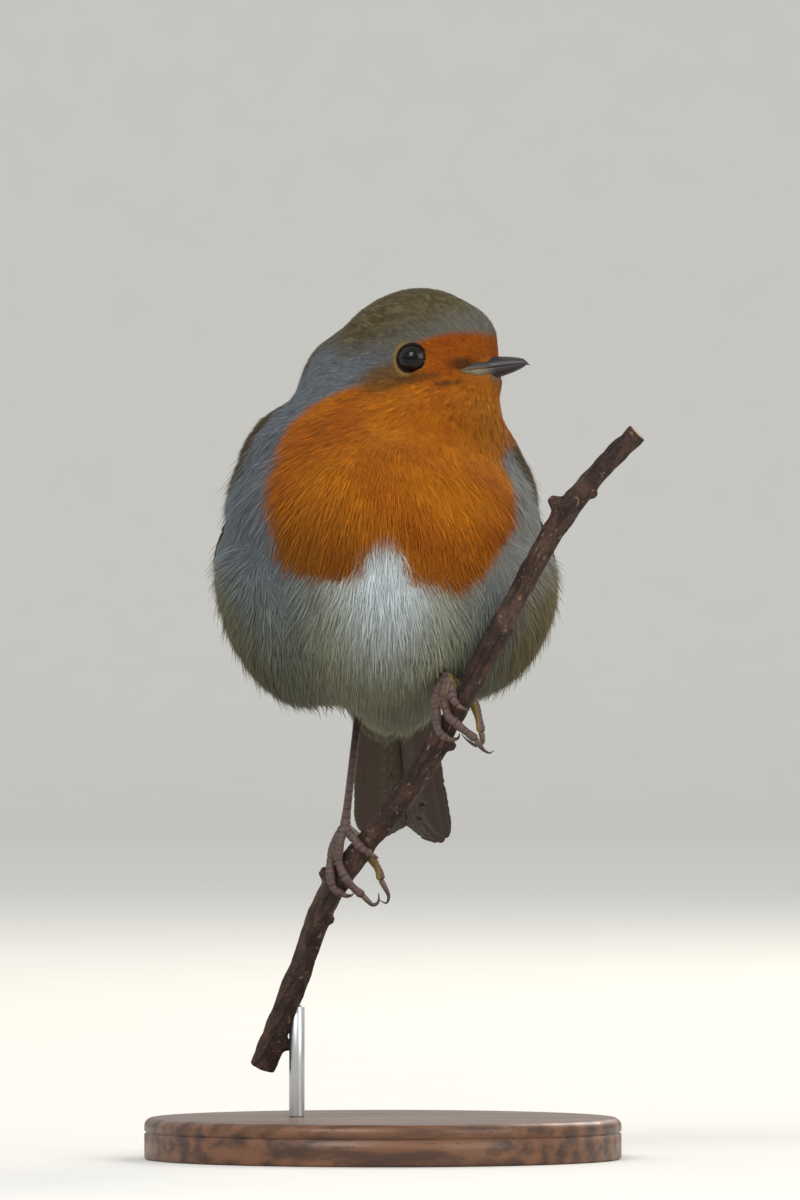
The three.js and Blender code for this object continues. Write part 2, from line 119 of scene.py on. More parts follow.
class Spline:
    """A smooth centripetal curve through points, measured by its length."""

    reach = 0.01

    def __init__(self, knots: Sequence[Numbers], fineness: int = 40) -> None:
        """Samples the curve.

        Args:
            knots: The points it passes through, in millimetres.
            fineness: Samples in each stretch between two knots.
        """
        p = np.array(knots, float)
        p = np.vstack([2 * p[0] - p[1], p, 2 * p[-1] - p[-2]])
        gap = np.sqrt(np.linalg.norm(np.diff(p, axis=0), axis=1))[:, None]
        t = np.linspace(0, 1, fineness, endpoint=False)[:, None]
        runs = []
        for i in range(1, len(p) - 2):
            d0, d1, d2 = gap[i - 1], gap[i], gap[i + 1]
            a, b, c, d = p[i - 1 : i + 3]
            step = c - b
            start = ((b - a) / d0 - (c - a) / (d0 + d1) + step / d1) * d1
            end = (step / d1 - (d - b) / (d1 + d2) + (d - c) / d2) * d1
            bow, sway = 3 * step - 2 * start - end, start + end - 2 * step
            runs.append(b + start * t + bow * t**2 + sway * t**3)
        self.samples = np.vstack([*runs, p[-2:-1]])
        steps = np.linalg.norm(np.diff(self.samples, axis=0), axis=1)
        self.measure = np.concatenate([[0], np.cumsum(steps)])
        self.length = float(self.measure[-1])

    def at(self, share: Array | float) -> Array:
        """The points at shares of the curve's length."""
        place = np.clip(share, 0, 1) * self.length
        return np.stack([np.interp(place, self.measure, self.samples[:, k]) for k in range(3)], -1)

    def heading(self, share: Array | float) -> Array:
        """The curve's direction at shares of its length."""
        share = np.clip(share, self.reach, 1 - self.reach)
        return unit(self.at(share + self.reach) - self.at(share - self.reach))


# ---- Meshes ----


class MeshParts:
    """Points and faces that are gathered into one piece."""

    def __init__(self) -> None:
        """Starts with nothing."""
        self.points: list[Array] = []
        self.faces: Faces = []
        self.values: dict[str, list[Array]] = {}
        self.count = 0

    def add(self, points: Array, faces: Faces, **values: Array) -> None:
        """Adds a shape.

        Args:
            points: Its points, in millimetres.
            faces: Its faces, as indices of its own points.
            **values: A number or a vector for each point, by attribute name.
        """
        self.faces += [[i + self.count for i in face] for face in faces]
        self.points.append(points)
        self.count += len(points)
        for name, value in values.items():
            self.values.setdefault(name, []).append(np.asarray(value, float))

    def mesh(self, name: str) -> Mesh:
        """Makes the mesh with its attributes.

        Args:
            name: Its name.

        Returns:
            The mesh.
        """
        mesh = bpy.data.meshes.new(name)
        mesh.from_pydata((np.vstack(self.points) * MM).tolist(), [], self.faces)
        for key, values in self.values.items():
            write_attribute(mesh, key, np.concatenate(values))
        mesh.shade_smooth()
        return mesh

    def piece(self, name: str) -> Piece:
        """Makes the object, with every face pointing out."""
        return add_object(name, turn_outwards(self.mesh(name)))


def add_object(name: str, data: Any) -> Piece:
    """Makes an object and puts it in the scene.

    Args:
        name: Its name.
        data: Its mesh, light or camera.

    Returns:
        The object.
    """
    obj = bpy.data.objects.new(name, data)
    bpy.context.scene.collection.objects.link(obj)
    return obj


def write_attribute(mesh: Mesh, name: str, values: Array) -> None:
    """Stores a number or a vector for each point of a mesh."""
    kind, key = ("FLOAT_VECTOR", "vector") if values.ndim == 2 else ("FLOAT", "value")
    mesh.attributes.new(name, kind, "POINT").data.foreach_set(key, values.astype(np.float32).ravel())


def read_points(mesh: Mesh, kind: str = "co") -> Array:
    """The places (in millimetres) or the normals of a mesh's points.

    Args:
        mesh: The mesh.
        kind: Either co or normal.

    Returns:
        A row for each point.
    """
    values = np.zeros(len(mesh.vertices) * 3, np.float32)
    if kind == "normal":
        mesh.vertex_normals.foreach_get("vector", values)
        return values.reshape(-1, 3).astype(float)
    mesh.vertices.foreach_get(kind, values)
    return values.reshape(-1, 3).astype(float) / MM


def move_points(mesh: Mesh, places: Array) -> None:
    """Puts a mesh's points at places in millimetres."""
    mesh.vertices.foreach_set("co", (places * MM).astype(np.float32).ravel())
    mesh.update()


def turn_outwards(mesh: Mesh) -> Mesh:
    """Makes every face of a closed mesh point out.

    Args:
        mesh: The mesh.

    Returns:
        The same mesh.
    """
    work = bmesh.new()
    work.from_mesh(mesh)
    bmesh.ops.recalc_face_normals(work, faces=work.faces)
    work.to_mesh(mesh)
    work.free()
    return mesh


def strip_faces(rows: int, columns: int, closed: bool = True) -> Faces:
    """Quads between rows of points, with each row closed into a ring if asked.

    Args:
        rows: How many rows there are.
        columns: How many points each has.
        closed: Whether each row is a ring.

    Returns:
        The quads.
    """
    last = columns if closed else columns - 1
    quads = []
    for r in range(rows - 1):
        for c in range(last):
            n = (c + 1) % columns
            quads.append([r * columns + c, r * columns + n, (r + 1) * columns + n, (r + 1) * columns + c])
    return quads


def closed_tube(rings: Array) -> tuple[Array, Faces]:
    """A closed shape over rings of points.

    Args:
        rings: An array of rows, points and coordinates.

    Returns:
        The points and the faces, with a fan over each end.
    """
    rows, sides, _ = rings.shape
    points = np.vstack([rings.reshape(-1, 3), rings[0].mean(0), rings[-1].mean(0)])
    faces = strip_faces(rows, sides)
    low, high, end = rows * sides, rows * sides + 1, (rows - 1) * sides
    for c in range(sides):
        n = (c + 1) % sides
        faces.append([low, n, c])
        faces.append([high, end + c, end + n])
    return points, faces


def settle_modifiers(obj: Piece) -> Piece:
    """Turns a piece with live modifiers into a plain mesh, and removes the modifiers.

    Args:
        obj: The piece.

    Returns:
        The same piece.
    """
    graph = bpy.context.evaluated_depsgraph_get()
    made = bpy.data.meshes.new_from_object(
        obj.evaluated_get(graph), preserve_all_data_layers=True, depsgraph=graph
    )
    obj.modifiers.clear()
    obj.data = made
    return obj


def remesh(obj: Piece, voxel: float) -> Piece:
    """Joins a piece's overlapping shapes into one skin of quads about a voxel wide.

    Args:
        obj: The piece.
        voxel: The size of a voxel in millimetres.

    Returns:
        The same piece.
    """
    modifier = obj.modifiers.new("Union", "REMESH")
    modifier.mode = "VOXEL"
    modifier.voxel_size = voxel * MM
    modifier.use_smooth_shade = True
    return settle_modifiers(obj)


def finish_piece(
    obj: Piece, material: bpy.types.Material, slot: str, replaces: Sequence[str] = ()
) -> None:
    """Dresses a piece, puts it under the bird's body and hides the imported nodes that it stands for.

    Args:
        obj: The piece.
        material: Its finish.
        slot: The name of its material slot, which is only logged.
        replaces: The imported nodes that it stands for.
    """
    if not obj.data.materials:
        obj.data.materials.append(material)
    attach(obj, BODY)
    if replaces:
        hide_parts(*replaces)
    LOG.info("%s: %d faces, slot %s", obj.name, len(obj.data.polygons), slot)


# ---- Node trees ----


class Wire:
    """One value in a node tree, with Python's arithmetic."""

    def __init__(self, graph: Graph, socket: bpy.types.NodeSocket) -> None:
        """Holds an output socket and the tree that it is in."""
        self.graph = graph
        self.socket = socket

    def __add__(self, other: Feed) -> Wire:
        """self + other."""
        return self.graph.math("ADD", self, other)

    def __radd__(self, other: Feed) -> Wire:
        """other + self."""
        return self.graph.math("ADD", other, self)

    def __sub__(self, other: Feed) -> Wire:
        """self - other."""
        return self.graph.math("SUBTRACT", self, other)

    def __rsub__(self, other: Feed) -> Wire:
        """other - self."""
        return self.graph.math("SUBTRACT", other, self)

    def __mul__(self, other: Feed) -> Wire:
        """self * other."""
        return self.graph.math("MULTIPLY", self, other)

    def __rmul__(self, other: Feed) -> Wire:
        """other * self."""
        return self.graph.math("MULTIPLY", other, self)

    def __rtruediv__(self, other: Feed) -> Wire:
        """other / self."""
        return self.graph.math("DIVIDE", other, self)


Feed = Any
Feeds = dict[str, Feed]


class Graph:
    """Adds nodes to a shader tree or a geometry tree."""

    def __init__(self, tree: bpy.types.NodeTree) -> None:
        """Works on a tree."""
        self.tree = tree

    def node(self, kind: str, inputs: dict | None = None, **settings: Any) -> bpy.types.Node:
        """Adds a node.

        Args:
            kind: The node's type.
            inputs: A value or a wire for each of its sockets, by name or number.
            **settings: Its own settings, which are made first.

        Returns:
            The node.
        """
        node = self.tree.nodes.new(kind)
        for key, value in settings.items():
            setattr(node, key, value)
        for key, value in (inputs or {}).items():
            socket = self.pick(node.inputs, key)
            if isinstance(value, Wire):
                self.tree.links.new(value.socket, socket)
            else:
                socket.default_value = value
        return node

    def pick(self, sockets: Any, key: str | int) -> bpy.types.NodeSocket:
        """The socket with a number, or the one in use with a name."""
        named = (s for s in sockets if s.name == key and s.enabled)
        return sockets[key] if isinstance(key, int) else next(named)

    def out(self, node: bpy.types.Node, key: str | int = 0) -> Wire:
        """One output of a node as a wire."""
        return Wire(self, self.pick(node.outputs, key))

    def get(self, kind: str, inputs: dict | None = None, key: str | int = 0, **settings: Any) -> Wire:
        """Adds a node and gives one of its outputs."""
        return self.out(self.node(kind, inputs, **settings), key)

    def math(self, operation: str, *values: Feed) -> Wire:
        """A Math node."""
        return self.get("ShaderNodeMath", dict(enumerate(values)), operation=operation)

    def vector(self, operation: str, *values: Feed) -> Wire:
        """A Vector Math node whose result is a vector."""
        return self.get("ShaderNodeVectorMath", dict(enumerate(values)), operation=operation)

    def measure(self, operation: str, *values: Feed) -> Wire:
        """A Vector Math node whose result is a number."""
        return self.get("ShaderNodeVectorMath", dict(enumerate(values)), "Value", operation=operation)

    def scaled(self, vector: Feed, factor: Feed) -> Wire:
        """A vector times a number."""
        return self.get("ShaderNodeVectorMath", {0: vector, "Scale": factor}, operation="SCALE")

    def smooth(self, value: Feed, low: float, high: float) -> Wire:
        """0 at low and 1 at high, with a smooth ramp between them."""
        ends = {"Value": value, "From Min": low, "From Max": high}
        return self.get("ShaderNodeMapRange", ends, interpolation_type="SMOOTHSTEP")

    def mix(self, factor: Feed, first: Feed, second: Feed, blend: str = "MIX") -> Wire:
        """Mixes two colours."""
        feeds = {"Factor": factor, "A": first, "B": second}
        return self.get("ShaderNodeMix", feeds, "Result", data_type="RGBA", blend_type=blend)

    def noise(self, place: Feed, scale: float, detail: float = 2.0) -> Wire:
        """Smooth noise about 0.5 at a number of lumps to a metre."""
        return self.get("ShaderNodeTexNoise", {"Vector": place, "Scale": scale, "Detail": detail})

    def parts(self, vector: Feed) -> tuple[Wire, ...]:
        """The three numbers of a vector."""
        node = self.node("ShaderNodeSeparateXYZ", {0: vector})
        return tuple(self.out(node, k) for k in range(3))

    def attribute(self, name: str, output: str = "Fac") -> Wire:
        """A value that the mesh carries."""
        return self.get("ShaderNodeAttribute", None, output, attribute_name=name)

    def place(self) -> Wire:
        """The place on the object, in metres."""
        return self.get("ShaderNodeTexCoord", None, "Object")

    def bump(self, height: Wire, distance: float, strength: float = 1.0) -> Wire:
        """A Bump node whose height is in millimetres."""
        sockets = {"Height": height, "Distance": distance * MM, "Strength": strength}
        return self.get("ShaderNodeBump", sockets, "Normal")


def colour(*screen: int) -> Tone:
    """A colour from its red, green and blue on a screen, as the linear numbers that shaders use."""
    shares = [value / 255 for value in screen]
    return (*(c / 12.92 if c <= 0.04045 else ((c + 0.055) / 1.055) ** 2.4 for c in shares), 1.0)


@dataclass(frozen=True)
class Finish:
    """A finish that is the same in every way except its colour and relief."""

    name: str
    roughness: float = 0.6
    specular: float = 0.4
    sheen: float = 0.0
    coat: float = 0.0
    metallic: float = 0.0

    def feeds(self, g: Graph) -> Feeds:
        """What varies over the surface, by shader socket.

        Args:
            g: The material's tree.

        Returns:
            A value or a wire for each socket.
        """
        raise NotImplementedError

    def material(self) -> bpy.types.Material:
        """Makes the material.

        Returns:
            The material.
        """
        material = bpy.data.materials.new(self.name)
        material.use_nodes = True
        material.node_tree.nodes.clear()
        graph = Graph(material.node_tree)
        constants = {
            "Roughness": self.roughness,
            "Specular IOR Level": self.specular,
            "Sheen Weight": self.sheen,
            "Sheen Roughness": 0.5,
            "Coat Weight": self.coat,
            "Coat Roughness": 0.05,
            "Metallic": self.metallic,
        }
        shader = graph.node("ShaderNodeBsdfPrincipled", constants | self.feeds(graph))
        graph.node("ShaderNodeOutputMaterial", {"Surface": graph.out(shader)})
        return material


# ---- The head's own frame ----


@dataclass(frozen=True)
class HeadFrame:
    """The head's place: x is forward along the bill, y to the bird's left and z up."""

    at: Triple = (9, -6, 155)
    turn: float = 61
    lift: float = 6
    eye: Triple = (0.7, 7.6, -1.2)
    eye_radius: float = 3.3

    def axes(self) -> Array:
        """Rows: the head's forward, left and up directions.

        Returns:
            Three unit vectors.
        """
        turn, lift = math.radians(self.turn), math.radians(self.lift)
        level = np.array([math.sin(turn), -math.cos(turn), 0])
        left = np.array([math.cos(turn), math.sin(turn), 0])
        up = np.array([0, 0, 1.0])
        forward = level * math.cos(lift) + up * math.sin(lift)
        return np.stack([forward, left, up * math.cos(lift) - level * math.sin(lift)])

    def out(self, points: Array | Numbers) -> Array:
        """Head places as places on the bird."""
        return np.asarray(points, float) @ self.axes() + np.array(self.at)

    def into(self, points: Array) -> Array:
        """Places on the bird as head places."""
        return (points - np.array(self.at)) @ self.axes().T

    def eye_centre(self, side: int) -> Array:
        """The middle of an eyeball."""
        forward, aside, up = self.eye
        return self.out([forward, side * aside, up])


HEAD = HeadFrame()


# ---- The plumage as masses ----


class Mass:
    """An ellipsoid of feathers, in the bird's frame or the head's."""

    def __init__(
        self, at: Numbers, radii: Numbers, tip: float = 0, head: bool = False, roll: float = 0
    ) -> None:
        """Places it.

        Args:
            at: Its middle.
            radii: Its three radii.
            tip: Degrees that its top leans forward.
            head: Whether at and radii are in the head's frame.
            roll: Degrees that its top leans to the left.
        """
        a, b = math.radians(tip), math.radians(roll)
        tipped = np.array([[1, 0, 0], [0, math.cos(a), -math.sin(a)], [0, math.sin(a), math.cos(a)]])
        rolled = np.array([[math.cos(b), 0, math.sin(b)], [0, 1, 0], [-math.sin(b), 0, math.cos(b)]])
        tipped = rolled @ tipped
        self.axes = HEAD.axes().T if head else tipped
        self.centre = HEAD.out(at) if head else np.array(at, float)
        self.radii = np.array(radii, float)

    def depth(self, points: Array) -> Array:
        """How far points are outside it, or inside if negative.

        Args:
            points: Places on the bird.

        Returns:
            The distance of each.
        """
        scaled = ((points - self.centre) @ self.axes) / self.radii
        size = np.linalg.norm(scaled, axis=1)
        return size * (size - 1) / np.maximum(np.linalg.norm(scaled / self.radii, axis=1), 1e-6)

    def ball(self, rows: int = 24, sides: int = 40) -> tuple[Array, Faces]:
        """The ellipsoid as a closed mesh.

        Args:
            rows: How many rings it has.
            sides: How many points a ring has.

        Returns:
            The points and the faces.
        """
        rise = np.linspace(0.02, math.pi - 0.02, rows)[:, None]
        turn = around(sides)[None, :]
        sphere = np.stack(
            [np.sin(rise) * np.cos(turn), np.sin(rise) * np.sin(turn), np.cos(rise) + 0 * turn], -1
        )
        return closed_tube((sphere * self.radii) @ self.axes.T + self.centre)


@dataclass
class Plumage:
    """The outer shape of the feathered bird, as masses that blend into each other."""

    blend: float = 6.0
    vent: Triple = (0.6, 34, 60)
    bill_root: Triple = (11.5, 0, -3.5)
    masses: list[Mass] = field(default_factory=list)

    def __post_init__(self) -> None:
        """Lists the masses from the trunk to the head."""
        self.masses = [
            Mass((0, -7, 123), (27.5, 26, 23)),
            Mass((0, -3, 107), (28, 30, 21)),
            Mass((3.1, 2, 95.8), (9.6, 18, 13.6)),
            Mass((0, 9, 124), (24, 20, 27), 28),
            Mass((0, 17, 107), (24.5, 20, 19.5), 38),
            Mass((0.6, 31, 98), (10.5, 15, 8), -42),
            Mass((0.6, 27, 92.8), (9.5, 17, 6.8), -38),
            Mass((20.4, -3, 106.2), (12.6, 22, 17.6), roll=25),
            Mass((-21.2, -3, 104.8), (9.4, 22, 18), roll=-24),
            Mass((10.2, -9.5, 141.5), (13.2, 12.6, 10)),
            Mass((-4.1, 2.5, 147.2), (12.6, 12, 13.4)),
            Mass((-1.5, 0, 137), (21.5, 18, 12.5)),
            Mass((-1.4, 0, 1), (12.6, 8.9, 10.6), head=True),
            Mass((-3.8, 0, 4.6), (12, 8, 7.4), head=True),
            Mass((9.2, 0, 0.9), (5, 4, 5.4), head=True),
            Mass((8.7, 0, -6.5), (5.2, 4.4, 3.7), head=True),
            Mass((-1.5, 3.2, -4.6), (7.6, 4.6, 5.6), head=True),
            Mass((-1.5, -3.2, -4.6), (7.6, 4.6, 5.6), head=True),
        ]

    def outside(self, points: Array) -> Array:
        """How far points are outside the plumage, or inside if negative.

        Args:
            points: Places on the bird.

        Returns:
            The distance of each.
        """
        nearest = np.full(len(points), 1e3)
        for mass in self.masses:
            nearest = self.joined(nearest, mass.depth(points))
        return nearest

    def joined(self, nearest: Array, other: Array) -> Array:
        """The distance outside two shapes that blend into each other."""
        overlap = np.maximum(self.blend - np.abs(nearest - other), 0) / self.blend
        return np.minimum(nearest, other) - overlap**2 * self.blend / 4

    def coat_depth(self, points: Array) -> Array:
        """How deep the skin lies under the tips of the feathers.

        Args:
            points: Places on the bird.

        Returns:
            The depth at each.
        """
        local = HEAD.into(points)
        from_head = np.linalg.norm(local, axis=1)
        from_bill = np.linalg.norm(local - np.array(self.bill_root), axis=1)
        body = 0.9 + 0.9 * smoothstep(from_head, 18, 45)
        face = 0.35 + 0.25 * smoothstep(from_bill, 4, 14)
        return lerp(face, body, smoothstep(from_head, 12, 24))

    def lie(self, points: Array, normals: Array) -> Array:
        """The direction in which the feathers lie: away from the bill and down to the vent.

        Args:
            points: Places on the bird.
            normals: The outward direction at each.

        Returns:
            A unit vector for each.
        """
        from_bill = unit(points - HEAD.out(self.bill_root))
        to_vent = unit(np.array(self.vent) - points)
        nearness = 1 - smoothstep(np.linalg.norm(points - np.array(HEAD.at), axis=1), 11, 32)
        flow = lerp(to_vent, from_bill, nearness[:, None])
        return unit(flow - normals * dots(flow, normals)[:, None])


PLUMAGE = Plumage()


# ---- The twig ----


@dataclass
class Twig:
    """The cut length of twig that the bird grips."""

    radius: float = 2.35
    rings: int = 520
    sides: int = 44
    line: Spline = field(
        default_factory=lambda: Spline(
            [
                (-23.2, 5.6, 17.5), (-16.3, 1, 35.5), (-10.5, -4.2, 50.6), (-3.8, -8.6, 60.2),
                (4.2, -13, 70.2), (16.7, -23.6, 91.2), (24.9, -28.6, 106.9), (33.7, -32.4, 122.7),
                (41.5, -34, 132.5), (48.5, -35, 139.5),
            ]
        )
    )
    # Buds and old scars: how far along, degrees round to the right side, height and radius.
    knobs: tuple[tuple[float, float, float, float], ...] = (
        (0.036, 95, 1.9, 1.4), (0.215, 95, 0.7, 1.1), (0.268, -95, 1.9, 1.6), (0.512, 95, 1.5, 1.3),
        (0.69, 70, 0.9, 1.5), (0.862, -90, 2.2, 1.6), (0.9, 95, 0.8, 1.2),
    )

    def radius_at(self, share: Array | float) -> Array:
        """The bark's radius at shares of the twig's length."""
        swell = 0.05 * np.sin(31 * share) + 0.03 * np.sin(67 * share)
        return self.radius * (1.02 - 0.16 * share + swell)

    def frame(self, share: Array) -> tuple[Array, Array, Array, Array]:
        """The middle, direction, front and right side of the twig at shares of its length.

        Args:
            share: Shares of the length.

        Returns:
            The four, with a row for each share.
        """
        heading = self.line.heading(share)
        front = unit(np.array([0, -1.0, 0]) + heading * heading[..., 1:2])
        return self.line.at(share), heading, front, np.cross(heading, front)

    def share_at(self, height: float) -> float:
        """The share of the length at which the twig passes a height."""
        shares = np.linspace(0, 1, 1001)
        return float(shares[np.argmax(self.line.at(shares)[:, 2] >= height)])

    def distance(self, points: Array) -> Array:
        """How far points are from the twig's line."""
        samples = self.line.at(np.linspace(0, 1, 60))
        return np.linalg.norm(points[:, None] - samples[None], axis=2).min(1)

    def build(self) -> Piece:
        """Makes the twig, with buds, scars, ridges in the bark and sawn ends.

        Returns:
            The piece.
        """
        rng = np.random.default_rng(11)
        share = np.linspace(0, 1, self.rings)[:, None]
        angle = around(self.sides)[None, :]
        centre, _, front, right = self.frame(share[:, 0])
        radius = self.radius_at(share) + 0 * angle
        place = share * self.line.length
        for along, turn, height, size in self.knobs:
            side = (angle - math.radians(turn) + math.pi) % (2 * math.pi) - math.pi
            reach = ((place - along * self.line.length - 0.5) / (0.75 * size)) ** 2
            lump = np.exp(-((reach + (side * self.radius / (0.8 * size)) ** 2) ** 1.4))
            crater = 0.22 * np.exp(-reach * 6 - (side * self.radius / (0.35 * size)) ** 2)
            radius = radius + height * (lump - crater)
        for _ in range(26):
            wave, phase, twist = rng.uniform(0.2, 1.6), rng.uniform(0, 6.3), rng.integers(2, 9)
            radius = radius + 0.022 * np.sin(wave * place + twist * angle + phase)
        fissure = np.sin(9 * angle + 2.2 * np.sin(place * 0.35) + 1.3 * np.sin(place * 0.9))
        radius = radius - 0.07 * np.maximum(fissure - 0.55, 0) * 2
        for _ in range(70):
            along, turn = rng.uniform(2, self.line.length - 2), rng.uniform(0, 2 * math.pi)
            side = (angle - turn + math.pi) % (2 * math.pi) - math.pi
            spot = ((place - along) / 0.34) ** 2 + (side * self.radius / 0.24) ** 2
            radius = radius + 0.1 * np.exp(-spot)
        radius = radius + rng.normal(0, 0.012, radius.shape)
        rings = centre[:, None] + radius[..., None] * (
            np.cos(angle)[..., None] * front[:, None] + np.sin(angle)[..., None] * right[:, None]
        )
        parts = MeshParts()
        points, faces = closed_tube(rings)
        cut = np.zeros(len(points))
        cut[-2:] = 1
        for end in (0, self.rings - 1):
            cut[end * self.sides : (end + 1) * self.sides] = 0.5
        parts.add(points, faces, cut=cut)
        return parts.piece("twig")


TWIG = Twig()


# ---- Long feathers ----

Surface = Callable[[Array, Array], tuple[Array, Array]]


@dataclass(frozen=True)
class Vane:
    """The shape of one flight feather or covert."""

    length: float
    narrow: float
    wide: float
    tip: float = 0.3
    thickness: float = 0.2
    shaft: float = 0.2
    rows: int = 64
    fringe: float = 0.5
    spot: float = 0.0

    def outline(self, share: Array) -> Array:
        """The feather's width at shares of its length, as a share of its full width."""
        end = np.clip((share - 1 + self.tip) / self.tip, 0, 1)
        return (0.3 + 0.7 * smoothstep(share, 0.0, 0.4)) * np.sqrt(np.maximum(1 - end**2.2, 0.0004))

    def add(self, parts: MeshParts, surface: Surface, rng: Draws) -> None:
        """Adds the feather to a piece.

        Args:
            parts: Where it goes.
            surface: Gives places and normals from shares of the length and millimetres across.
            rng: Draws its rough edges and its shade.
        """
        share = 1 - (1 - np.linspace(0, 1, self.rows)) ** 1.5
        width = self.outline(share)
        rough = 1 + rng.normal(0, 0.025, (2, self.rows))
        for _ in range(2):
            side, split = rng.integers(0, 2), rng.integers(self.rows // 2, self.rows - 4)
            rough[side, split : split + 2] -= rng.uniform(0.08, 0.3)
        narrow, wide = self.narrow * width * rough[0], self.wide * width * rough[1]
        shaft = self.shaft * (1 - 0.75 * share)
        columns = [-wide, -0.66 * wide, -0.33 * wide, -1.1 * shaft, 0 * shaft, 1.1 * shaft]
        columns += [0.33 * narrow, 0.66 * narrow, narrow]
        across = np.stack(columns, 1)
        span = np.where(across < 0, wide[:, None], narrow[:, None])
        edge = np.abs(across) / np.maximum(span, 1e-6)
        ridge = np.array([0, 0, 0, 0.15, 1, 0.15, 0, 0, 0])
        body = self.thickness * (1 - 0.8 * edge**2)
        over = body / 2 + ridge * shaft[:, None] * 0.8 - 0.05 * edge**2 * span
        under = -body / 2 - ridge * shaft[:, None] - 0.05 * edge**2 * span
        place, normal = surface(share, across)
        top = place + normal * over[..., None]
        low = place + normal * under[..., None]
        rings = np.concatenate([top, low[:, -2:0:-1]], 1)
        signed = np.sign(across) * edge
        signed = np.concatenate([signed, signed[:, -2:0:-1]], 1)
        marks = np.stack([signed, np.broadcast_to((share * self.length)[:, None], signed.shape)], -1)
        marks = np.concatenate([marks, np.broadcast_to(share[:, None, None], (*signed.shape, 1))], 2)
        points, faces = closed_tube(rings)
        ends = np.array([[0, 0, 0], [0, self.length, 1]])
        tint = np.tile([self.fringe, self.spot, rng.uniform(-1, 1)], (len(points), 1))
        parts.add(points, faces, vane=np.vstack([marks.reshape(-1, 3), ends]), tint=tint)


@dataclass(frozen=True)
class FeatherRow:
    """A row of like feathers on a folded wing, from its lower edge to its upper one.

    Places are pairs: the share of the wing's length, and the share of its half-width, which
    is -1 at the lower edge and 1 at the upper one.
    """

    count: int
    root_first: Pair
    root_last: Pair
    tip_first: Pair
    tip_last: Pair
    width: float
    height: Pair
    fringe: float = 0.5
    spot: float = 0.0
    tip: float = 0.35
    rows: int = 26


